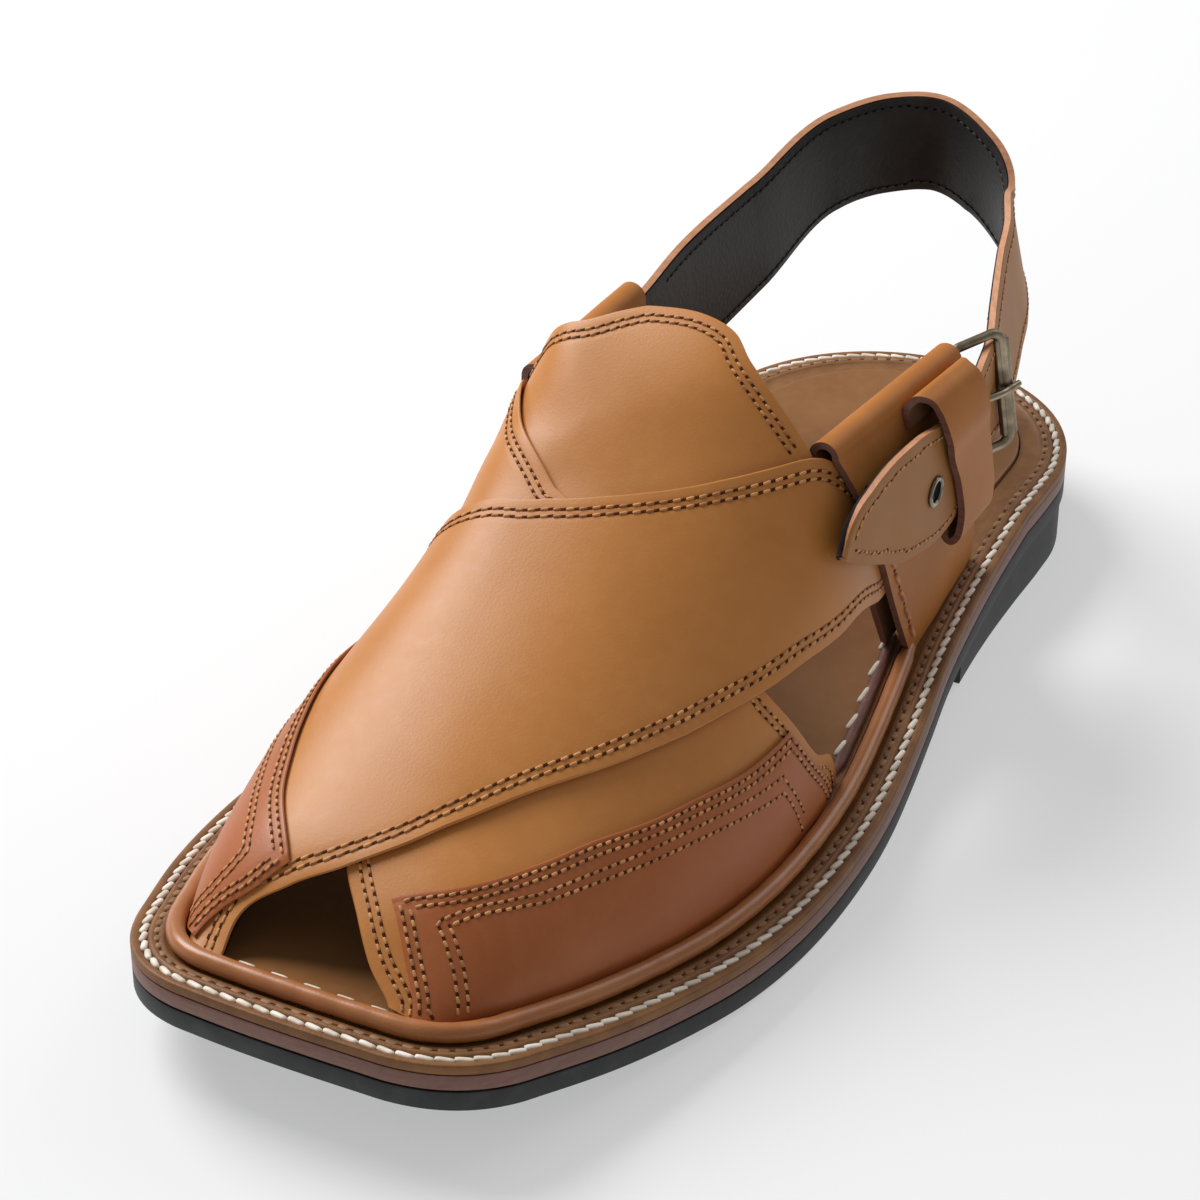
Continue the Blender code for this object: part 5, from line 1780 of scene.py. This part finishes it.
    def build_stitches(self) -> None:
        """Lockstitch, strip and footbed stitches."""
        f = self.finishes
        LOCK.sew(
            "lockstitch_on_welt", [self.ring_row(self.lock_inset, WELT_TOP - 0.45 * MM)], (f.white_thread,),
        )
        STRIP.sew(
            "stitches_beside_bead", [self.ring_row(self.strip_inset, WELT_TOP + 0.25 * MM)],
            (f.brown_thread, f.hole),
        )
        toe = self.ring_row(self.welt_width + self.toe_inset, self.insole_top + 0.05 * MM, *self.toe_share)
        FOOTBED.sew("stitches_in_footbed", [toe], (f.white_thread,))
        gap = [
            self.ring_row(self.ridge_inset + 0.9 * MM, self.insole_top + 1.1 * MM, *share)
            for share in self.gap_shares
        ]
        GAP_STITCH.sew("stitches_over_seam_ridge", gap, (f.white_thread,))
        for number, share in enumerate(self.gap_shares):
            line, _ = self.ring_row(self.ridge_inset, self.insole_top + 0.2 * MM, *share)
            ends = np.minimum(1.0, 0.3 + 0.7 * np.sin(np.linspace(0.0, math.pi, len(line))) * 4)
            ridge = Bench.wire("seam_ridge_%d" % number, line, self.ridge_radius, ends)
            Bench.dress(ridge, (f.dark_edge,))
            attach(ridge, BODY)

    def build(self) -> None:
        """Builds the whole sole."""
        f = self.finishes
        self.slab("outsole", 0.0, 0.0, self.outsole_top, (f.rubber,))
        self.build_heel()
        self.slab("midsole", 0.0, self.midsole_bottom, self.midsole_top, (f.midsole,))
        self.build_welt()
        self.slab("insole", self.welt_width + SEAM_GAP, self.welt_bottom, self.insole_top, (f.insole,))
        self.build_bead()
        self.build_stitches()


@dataclass
class Quarters:
    """The two folded sleeves that stand on the sole behind the side gaps."""

    finishes: Finishes

    # Thickness, slot between the two sheets, height share where the inner one ends, and middle to middle.
    sleeve_wall: float = 0.0015
    sleeve_slot: float = 0.0036
    inner_end: float = 0.03
    reach: float = sleeve_slot / 2 + sleeve_wall / 2

    # Unevenness of the outer sheet: height, length, deepest dip, fading, and the width in millimetres for it.
    swell: float = 0.25 * MM
    swell_size: float = 0.03
    sink: float = 0.05 * MM
    edge_ramp: float = 0.012
    mean_width: float = 36.0

    @staticmethod
    def wall(table: Rows, height: Array, along: Array) -> Array:
        """Middle of a quarter's slot: height from 0 to 1, along from its front edge (0) to its rear (1)."""
        heights = column(table, 0)
        front, rear, front_x, rear_x = (smooth(heights, column(table, i), height) for i in (1, 2, 3, 4))
        y = Last.sole_y(front + along * (rear - front))
        x = (front_x + along * (rear_x - front_x)) * BALL_WIDTH
        foot = Last.underside(y) + UPPER_FOOT
        return np.stack([x, y, foot + height * (QUARTER_TOP - foot)], axis=-1)

    @classmethod
    def at(cls, table: Rows, station: float, height: float) -> Array:
        """Middle of a quarter's slot under a place given by station and height share of QUARTER_TOP."""
        foot = float(Last.underside(Last.sole_y(station))) + UPPER_FOOT
        share = float(np.clip((height * QUARTER_TOP - foot) / (QUARTER_TOP - foot), 0.0, 1.0))
        front = float(smooth(column(table, 0), column(table, 1), share))
        rear = float(smooth(column(table, 0), column(table, 2), share))
        return cls.wall(table, share, (station - front) / (rear - front))

    def sleeve(self, name: str, node: str, table: Rows, side: Side) -> None:
        """Builds one sleeve: an outer and an inner sheet, joined by a rolled fold along the top.

        Args:
            name: Name of the piece.
            node: The solid that it stands for.
            table: The quarter's wall.
            side: Side of the shoe.
        """
        along = np.linspace(0.0, 1.0, 44)
        s, reach = side.value, self.reach
        rows = [self.wall(table, h + 0 * along, along) + [s * reach, 0, 0] for h in np.linspace(0, 1, 48)]
        for angle in np.linspace(0.0, math.pi, 16)[1:-1]:
            turn = [s * reach * math.cos(angle), 0.0, reach * math.sin(angle)]
            rows.append(self.wall(table, 1.0 + 0 * along, along) + turn)
        down = np.linspace(1, self.inner_end, 30)
        rows += [self.wall(table, h + 0 * along, along) - [s * reach, 0, 0] for h in down]
        points = np.array(rows)
        edge = np.minimum(along, 1 - along)[None] * self.mean_width * MM
        outer = (points[..., 0] - self.wall(table, 0.5, 0.5)[0]) * s > 0
        swell = self.swell * wander(points, self.swell_size, 2.0) * ramp(edge, self.edge_ramp) * outer
        points[..., 0] += s * np.maximum(swell, -self.sink)
        points = facing(points, 20, 20, (s, 0.0, 0.0))
        f = self.finishes
        piece = Bench.leather(name, points, self.sleeve_wall, 0.0, (f.sleeve, f.dark_edge, f.flesh))
        Bench.place(piece, node)

    def seam(
        self, table: Rows, side: Side, along: Sequence[float], heights: Sequence[float],
    ) -> Row:
        """Row on the outer sheet of a sleeve.

        Args:
            table: The quarter's wall.
            side: Side of the shoe.
            along: Shares from the front edge to the rear one, at the row's two ends.
            heights: Height shares at the row's two ends.

        Returns:
            Points and outward directions.
        """
        share = np.linspace(0.0, 1.0, 40)
        place = self.wall(
            table, heights[0] + share * (heights[1] - heights[0]), along[0] + share * (along[1] - along[0]),
        )
        out = side.value * (self.reach + self.sleeve_wall / 2)
        return place + [out, 0.0, 0.0], np.tile([float(side.value), 0.0, 0.0], (40, 1))

    def build(self) -> None:
        """Builds both sleeves and their hand stitches."""
        self.sleeve("sleeve_medial", "quarter_medial", QUARTER_MEDIAL, Side.MEDIAL)
        self.sleeve("sleeve_lateral", "quarter_lateral", QUARTER_LATERAL, Side.LATERAL)
        f = self.finishes
        HAND.sew(
            "hand_stitches_lateral",
            [self.seam(QUARTER_LATERAL, Side.LATERAL, (0.085, 0.065), (0.05, 0.99))],
            (f.hand_thread, f.hole),
        )
        HAND.sew(
            "hand_stitches_medial",
            [
                self.seam(QUARTER_MEDIAL, Side.MEDIAL, (0.10, 0.10), (0.06, 0.95)),
                self.seam(QUARTER_MEDIAL, Side.MEDIAL, (0.88, 0.88), (0.30, 0.93)),
                self.seam(QUARTER_MEDIAL, Side.MEDIAL, (0.62, 0.84), (0.83, 0.95)),
            ],
            (f.hand_thread, f.hole),
        )


@dataclass
class HeelStrap:
    """The strap round the heel with its lining, keeper, eyelet and buckle."""

    finishes: Finishes
    quarters: Quarters

    # Strap: widths and thicknesses, length and width of its point, places along it, and its eased edges.
    strap_width: float = 0.030
    strap_thickness: float = 0.0024
    outer_wall: float = 1.45 * MM
    lining_wall: float = 0.9 * MM
    lining_share: float = 0.965
    tip_length: float = 0.030
    tip_width: float = 0.0012
    steps: int = 420
    edge_roll: float = 0.6 * MM

    # Creases of the lining: depth, lengths of a crease, its drift and a creased stretch, and the smooth ends.
    wrinkle: float = 0.1 * MM
    creases: tuple[float, float, float] = (0.0046, 0.013, 0.021)
    smooth_ends: tuple[float, float] = (0.040, 0.085)

    # Sewn rows: how far inside the edges, and the lining's length without them at its start and end.
    row_inset: float = 2.3 * MM
    lining_ends: tuple[float, float] = (0.03, 0.09)

    # Keeper: thickness, play over the strap, and the scale of its distances where its table is spaced evenly.
    keeper_wall: float = 0.0015
    keeper_play: float = 0.0012
    keeper_share: float = 0.12

    # Buckle: station, across and height share of its two bars, their lean in degrees, and the frame's sizes.
    buckle_hinge: tuple[float, float, float] = (0.308, 0.334, 0.826)
    buckle_rear: tuple[float, float, float] = (0.266, 0.384, 0.838)
    buckle_lean: float = -10.0
    buckle_corner: float = 0.0026
    buckle_wire: float = 0.00105
    buckle_play: float = 0.00055
    buckle_width: float = STRAP_NECK * strap_width + 2 * (buckle_wire + buckle_play)

    # Flat rear bar: width and thickness, length as a share of the frame's width, and easing.
    bar_size: tuple[float, float] = (3.9 * MM, 1.7 * MM)
    bar_share: float = 0.88
    bar_bevel: float = 0.45 * MM

    # Prong: radius, height of its seat, and its line as shares of the way to the rear bar, with heights.
    prong_wire: float = 0.0009
    prong_seat: float = 0.95 * MM
    prong_line: Rows = ((0.45, 0.4 * MM), (0.80, 0.7 * MM), (1.00, 0.1 * MM), (1.22, -0.5 * MM))

    # Eyelet: place, radius, how far the roll reaches past it, the rolled ring, and the painted shadow in its
    # hole.
    eyelet_station: float = 0.3985
    eyelet_height: float = 0.762
    eyelet_radius: float = 0.0026
    eyelet_roll: float = 0.2 * MM
    eyelet_wire: float = 0.62 * MM
    eyelet_flat: float = 0.75
    eyelet_rise: float = 0.35 * MM
    hole_rise: float = 0.02 * MM
    hole_depth: float = 0.5 * MM

    def frames(self, count: int) -> tuple[Array, Array, Array, Array]:
        """Where the strap runs.

        Args:
            count: Places along it.

        Returns:
            Middle, direction across the width, width and outward direction at each place.
        """
        rows = np.asarray(STRAP, float)
        places = np.column_stack([rows[:, 1] * BALL_WIDTH, Last.sole_y(rows[:, 0]), rows[:, 2] * QUARTER_TOP])
        marks = marks_of(places)
        at = np.linspace(0.0, marks[-1], count)
        middle = np.column_stack([smooth(marks, places[:, axis], at) for axis in range(3)])
        width = smooth(marks, rows[:, 3], at) * self.strap_width
        lean = np.radians(smooth(marks, rows[:, 4], at))
        run = unit(np.gradient(middle, axis=0))
        out = unit(np.column_stack([-run[:, 1], run[:, 0], 0 * run[:, 0]]))
        if out[0, 0] > 0:
            out = -out
        up = np.cross(run, out)
        up = unit(up * np.sign(up[:, 2:3]))
        plumb = 1 - ramp(marks[-1] - at, self.tip_length)
        up = unit(up + plumb[:, None] * (np.array([0.0, 0.0, 1.0]) - up))
        across = np.cos(lean)[:, None] * up + np.sin(lean)[:, None] * out
        return middle, across, np.maximum(width, self.tip_width), out

    def faced(self) -> tuple[Array, Array, Array, Array]:
        """Middle, direction across, width and direction out of the grain side, along the strap."""
        middle, across, width, out = self.frames(self.steps)
        face = unit(np.cross(np.gradient(middle, axis=0), across))
        face *= np.sign((face * out).sum(1))[:, None]
        return middle, across, width, face

    def ribbon(
        self, name: str, share: float, shift: float, wall: float, materials: Materials,
        wrinkle: float = 0.0,
    ) -> None:
        """One layer of the strap.

        Args:
            name: Name of the piece.
            share: Share of the strap's width.
            shift: How far its middle lies outside the strap's.
            wall: Thickness.
            materials: Grain side, edge and other side.
            wrinkle: Depth of the creases across it.
        """
        middle, across, width, face = self.faced()
        steps = np.linspace(-0.5, 0.5, 17)
        points = middle[None] + steps[:, None, None] * (share * width[:, None] * across)[None]
        marks = marks_of(middle)
        crease, drift, stretch = self.creases
        ridges = np.sin(marks / crease + 1.6 * np.sin(marks / drift)) * (0.5 + 0.5 * np.sin(marks / stretch))
        low = ramp(np.abs(steps[:, None] - 0.15), 0.5)
        depth = shift + wrinkle * ridges[None] * (1 - low)
        bare = (marks > self.smooth_ends[0]) & (marks < marks[-1] - self.smooth_ends[1])
        depth = np.where(bare[None], depth, shift)
        edge = (0.5 - np.abs(steps))[:, None] * width[None]
        roll = np.clip(self.edge_roll - edge, 0.0, None) * 0.5
        points = points + (depth - np.sign(shift) * roll)[..., None] * face[None]
        half = self.steps // 2
        piece = Bench.leather(name, facing(points, 8, half, face[half]), wall, 0.0, materials)
        Bench.place(piece, "heel_strap")

    def edge_rows(self) -> tuple[list[Row], list[Row]]:
        """Rows a little inside the strap's edges.

        Returns:
            The rows on the leather, and those on the lining round the heel.
        """
        middle, across, width, face = self.faced()
        marks, half = marks_of(middle), self.strap_thickness / 2
        reach, tip = 40, 60
        rows, inner = [], []
        steps = np.linspace(0.5, 0.0, 24)
        for side in (-1, 1):
            rim = np.vstack([middle + side * width[:, None] / 2 * across, middle[-1:]])
            other = (middle - side * width[:, None] / 2 * across)[-tip:]
            found = []
            for index in range(len(middle)):
                line = middle[index] + side * width[index] * steps[:, None] * across[index]
                near = line_distance(line, rim[max(0, index - reach):index + reach + 1])
                if index > len(middle) - tip:
                    near = np.minimum(near, line_distance(line, other))
                if near.max() > self.row_inset:
                    place = line[int(np.argmax(near > self.row_inset))]
                    found.append(np.concatenate([place, face[index], marks[index:index + 1]]))
            found = np.array(found)
            place, out, mark = found[:, :3], found[:, 3:6], found[:, 6]
            rows.append((place + half * out, out))
            bare = (mark > self.lining_ends[0]) & (mark < marks[-1] - self.lining_ends[1])
            inner.append(((place - half * out)[bare], -out[bare]))
        return rows, inner

    def build_strap(self) -> None:
        """Builds the leather and its black lining, and the rows near their edges."""
        f, half = self.finishes, self.strap_thickness / 2
        self.ribbon(
            "strap_leather", 1.0, half - self.outer_wall / 2, self.outer_wall, (f.strap, f.raw_edge, f.flesh),
        )
        self.ribbon(
            "strap_lining", self.lining_share, self.lining_wall / 2 - half, self.lining_wall,
            (f.lining, f.lining, f.lining), self.wrinkle,
        )
        rows, inner = self.edge_rows()
        MACHINE.sew("stitches_strap_outside", rows, (f.gold_thread, f.hole))
        MACHINE.sew("stitches_strap_lining", inner, (f.lining, f.black_hole_shadow))

    def build_keeper(self) -> None:
        """Builds the wide loop over the strap's end."""
        sleeves = self.quarters
        seat = sleeves.sleeve_slot / 2 + sleeves.sleeve_wall + SEAM_GAP + self.keeper_wall / 2
        clearance = self.strap_thickness + self.keeper_play
        scale = [1.0, self.keeper_share, 1.0, 1.0]
        table = resample(np.asarray(KEEPER, float) * scale, np.linspace(0, 1, 90)) / scale
        rows = []
        for height, reach, front, rear in table:
            row = []
            for station in np.linspace(front, rear, 22):
                x = sleeves.at(QUARTER_LATERAL, float(station), height)[0] + seat + reach * clearance
                row.append((x, float(Last.sole_y(station)), height * QUARTER_TOP))
            rows.append(row)
        points = facing(np.array(rows), 45, 11, (1.0, 0.0, 0.0))
        f = self.finishes
        materials = (f.sleeve, f.dark_edge, f.flesh)
        piece = Bench.leather("keeper_leather", points, self.keeper_wall, 0.0, materials)
        Bench.place(piece, "keeper_loop")

    def buckle_axes(self) -> tuple[Array, Array, Array, Array]:
        """Hinge, vector from the hinge to the rear bar, direction along the bars, and direction outwards."""
        hinge, rear = (
            np.array([row[1] * BALL_WIDTH, float(Last.sole_y(row[0])), row[2] * QUARTER_TOP])
            for row in (self.buckle_hinge, self.buckle_rear)
        )
        run = rear - hinge
        lean = math.radians(self.buckle_lean)
        bar = np.array([math.sin(lean), 0.0, math.cos(lean)])
        bar = unit(bar - np.dot(bar, run) * run / np.dot(run, run))
        out = np.cross(run, bar)
        return hinge, run, bar, unit(out * np.sign(out[0]))

    def buckle_ring(self) -> Piece:
        """The buckle's round frame, a little stouter towards its rear bar."""
        hinge, run, bar, _ = self.buckle_axes()
        length, corner = float(np.linalg.norm(run)), self.buckle_corner
        ahead = run / length
        points, widths = [], []
        for along, up in ((1, 1), (1, -1), (-1, -1), (-1, 1)):
            centre = hinge + run / 2 + along * (length / 2 - corner) * ahead
            centre = centre + up * (self.buckle_width / 2 - corner) * bar
            for step in range(9):
                angle = math.pi / 2 * step / 8
                first, second = math.sin(angle), math.cos(angle)
                if along != up:
                    first, second = second, first
                points.append(centre + corner * (along * first * ahead + up * second * bar))
                widths.append(1.0 + 0.25 * max(0.0, along * first))
        return Bench.wire("buckle_ring", np.array(points), self.buckle_wire, np.array(widths), closed=True)

    def rear_bar(self) -> Piece:
        """The buckle's flat rear bar, with eased edges."""
        hinge, run, bar, out = self.buckle_axes()
        ahead = run / float(np.linalg.norm(run))
        Bench.hold(None)
        bpy.ops.mesh.primitive_cube_add(size=1.0)
        plate = bpy.context.object
        plate.scale = (*self.bar_size, self.buckle_width * self.bar_share)
        bpy.ops.object.transform_apply(location=False, rotation=False, scale=True)
        Bench.apply(plate, "BEVEL", width=self.bar_bevel, segments=3)
        turn = Matrix((Vector(ahead), Vector(out), Vector(bar))).transposed().to_4x4()
        plate.data.transform(Matrix.Translation(hinge + run) @ turn)
        Bench.face_outwards(plate)
        return plate

    def build_buckle(self) -> None:
        """Builds the cast frame with its flat rear bar, and the prong."""
        hinge, run, _, out = self.buckle_axes()
        frame = Bench.join("buckle_cast_frame", [self.buckle_ring(), self.rear_bar()])
        Bench.dress(frame, (self.finishes.buckle,), 50.0)
        rest = self.prong_seat + self.prong_wire
        bends = np.array([hinge + share * run + (rest + rise) * out for share, rise in self.prong_line])
        line = resample(bends, np.linspace(0, 1, 24))
        prong = Bench.wire("prong", line, self.prong_wire, np.linspace(1.0, 0.75, 24))
        Bench.dress(prong, (self.finishes.buckle,), 50.0)
        Bench.place(frame, "buckle_frame")
        Bench.place(prong, "buckle_prong")

    def build_eyelet(self) -> None:
        """Builds the eyelet: a rolled ring and a dark disc of painted shadow in its hole."""
        middle, across, _, out = self.frames(256)
        y, z = float(Last.sole_y(self.eyelet_station)), self.eyelet_height * QUARTER_TOP
        late = len(middle) // 2
        nearest = late + int(np.argmin(np.abs(middle[late:, 1] - y)))
        normal = out[nearest] * np.sign(out[nearest][0])
        up = across[nearest]
        seat = middle[nearest] + (self.strap_thickness / 2) * normal
        centre = seat + (z - seat[2]) * up
        turn = Matrix((Vector(up), Vector(np.cross(normal, up)), Vector(normal))).transposed().to_4x4()
        Bench.hold(None)
        bpy.ops.mesh.primitive_torus_add(
            major_segments=40, minor_segments=12, major_radius=self.eyelet_radius + self.eyelet_roll,
            minor_radius=self.eyelet_wire,
        )
        ring = bpy.context.object
        for vert in ring.data.vertices:
            vert.co.z *= self.eyelet_flat
        ring.data.transform(Matrix.Translation(centre + self.eyelet_rise * normal) @ turn)
        ring.name = ring.data.name = "eyelet_ring"
        Bench.dress(ring, (self.finishes.nickel,), 60.0)
        # A dark disc of painted shadow fills the eyelet's hole.
        Bench.hold(None)
        bpy.ops.mesh.primitive_cylinder_add(
            vertices=24, radius=self.eyelet_radius - self.eyelet_roll, depth=self.hole_depth,
        )
        hole = bpy.context.object
        hole.data.transform(Matrix.Translation(centre + self.hole_rise * normal) @ turn)
        hole.name = hole.data.name = "eyelet_hole_shadow"
        Bench.dress(hole, (self.finishes.black_hole_shadow,))
        Bench.place(ring, "strap_eyelet")
        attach(hole, BODY)

    def build(self) -> None:
        """Builds the strap and its fastening."""
        self.build_strap()
        self.build_keeper()
        self.build_buckle()
        self.build_eyelet()


@dataclass(frozen=True)
class SoftLight:
    """Soft round area light.

    Attributes:
        name: Its name.
        place: Where it stands.
        size: Its width.
        power: Its power, in watts.
        colour: Its colour.
    """

    name: str
    place: tuple[float, float, float]
    size: float
    power: float
    colour: str = "#FFFFFF"

    def build(self, lit: Sequence[float]) -> None:
        """Adds the light, looking at a point.

        Args:
            lit: The point.
        """
        Bench.hold(None)
        bpy.ops.object.light_add(type="AREA", location=self.place)
        light = bpy.context.object
        light.name = self.name
        light.data.shape = "DISK"
        light.data.size = self.size
        light.data.energy = self.power
        light.data.color = linear(self.colour)[:3]
        light.rotation_euler = (Vector(lit) - Vector(self.place)).to_track_quat("-Z", "Y").to_euler()


@dataclass
class Studio:
    """Pale floor, soft lights and the camera at the photograph's angle."""

    # Camera: its place, the point it looks at, its turn in degrees, lens and sensor in millimetres.
    eye: tuple[float, float, float] = (0.28066, -0.62332, 0.39880)
    aim: tuple[float, float, float] = (-0.0165, -0.109, 0.0275)
    roll: float = 0.28
    lens: float = 100.0
    sensor: float = 36.0

    # Floor, the point that the lights look at, the lights, and colour and strength of the light all round.
    floor_size: float = 9.0
    lit: tuple[float, float, float] = (0.0, -0.1, 0.03)
    lights: tuple[SoftLight, ...] = (
        SoftLight("key_light", (-0.95, 0.05, 1.0), 0.9, 24.0),
        SoftLight("fill_light", (0.35, -1.2, 1.0), 1.2, 0.8, "#FFFBF5"),
        SoftLight("rim_light", (0.35, 1.0, 0.9), 0.9, 4.0),
    )
    sky: str = "#F4F5F7"
    sky_power: float = 0.30

    def build_camera(self) -> None:
        """Adds the camera."""
        Bench.hold(None)
        bpy.ops.object.camera_add(location=self.eye)
        camera = bpy.context.object
        towards = Vector(self.aim) - Vector(self.eye)
        turn = towards.to_track_quat("-Z", "Y").to_matrix().to_4x4()
        roll = Matrix.Rotation(math.radians(self.roll), 4, "Z")
        camera.matrix_world = Matrix.Translation(self.eye) @ turn @ roll
        camera.data.lens = self.lens
        camera.data.sensor_width = self.sensor
        camera.data.clip_start = 0.01
        bpy.context.scene.camera = camera

    def build_floor(self, table: Material) -> None:
        """Adds the floor, far wider than the picture.

        Args:
            table: Its material.
        """
        Bench.hold(None)
        bpy.ops.mesh.primitive_plane_add(size=self.floor_size)
        floor = bpy.context.object
        floor.name = floor.data.name = "backdrop_floor"
        floor.data.materials.append(table)

    def build(self, table: Material) -> None:
        """Builds the studio.

        Args:
            table: Material of the floor.
        """
        self.build_camera()
        self.build_floor(table)
        for light in self.lights:
            light.build(self.lit)
        world = bpy.data.worlds.new("studio")
        world.use_nodes = True
        world.node_tree.nodes["Background"].inputs[0].default_value = linear(self.sky)
        world.node_tree.nodes["Background"].inputs[1].default_value = self.sky_power
        bpy.context.scene.world = world
        bpy.context.scene.view_settings.view_transform = "Standard"


def corners(box: Sequence[Vector]) -> list[list[float]]:
    """Lowest and highest corner as plain lists of numbers."""
    return [[float(value) for value in corner] for corner in box]


def main() -> None:
    """Loads the frame and dresses the shoe piece by piece."""
    logging.basicConfig(level=logging.INFO, format="%(name)s: %(message)s")
    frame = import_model()
    LOG.info("solids: %s", ", ".join(sorted(frame["nodes"])))
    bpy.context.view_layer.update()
    finishes = Finishes()
    Studio().build(finishes.table)
    Sole(finishes).build()
    Upper(finishes).build()
    quarters = Quarters(finishes)
    quarters.build()
    HeelStrap(finishes, quarters).build()
    Bench.hold(None)


if __name__ == "__main__":
    main()
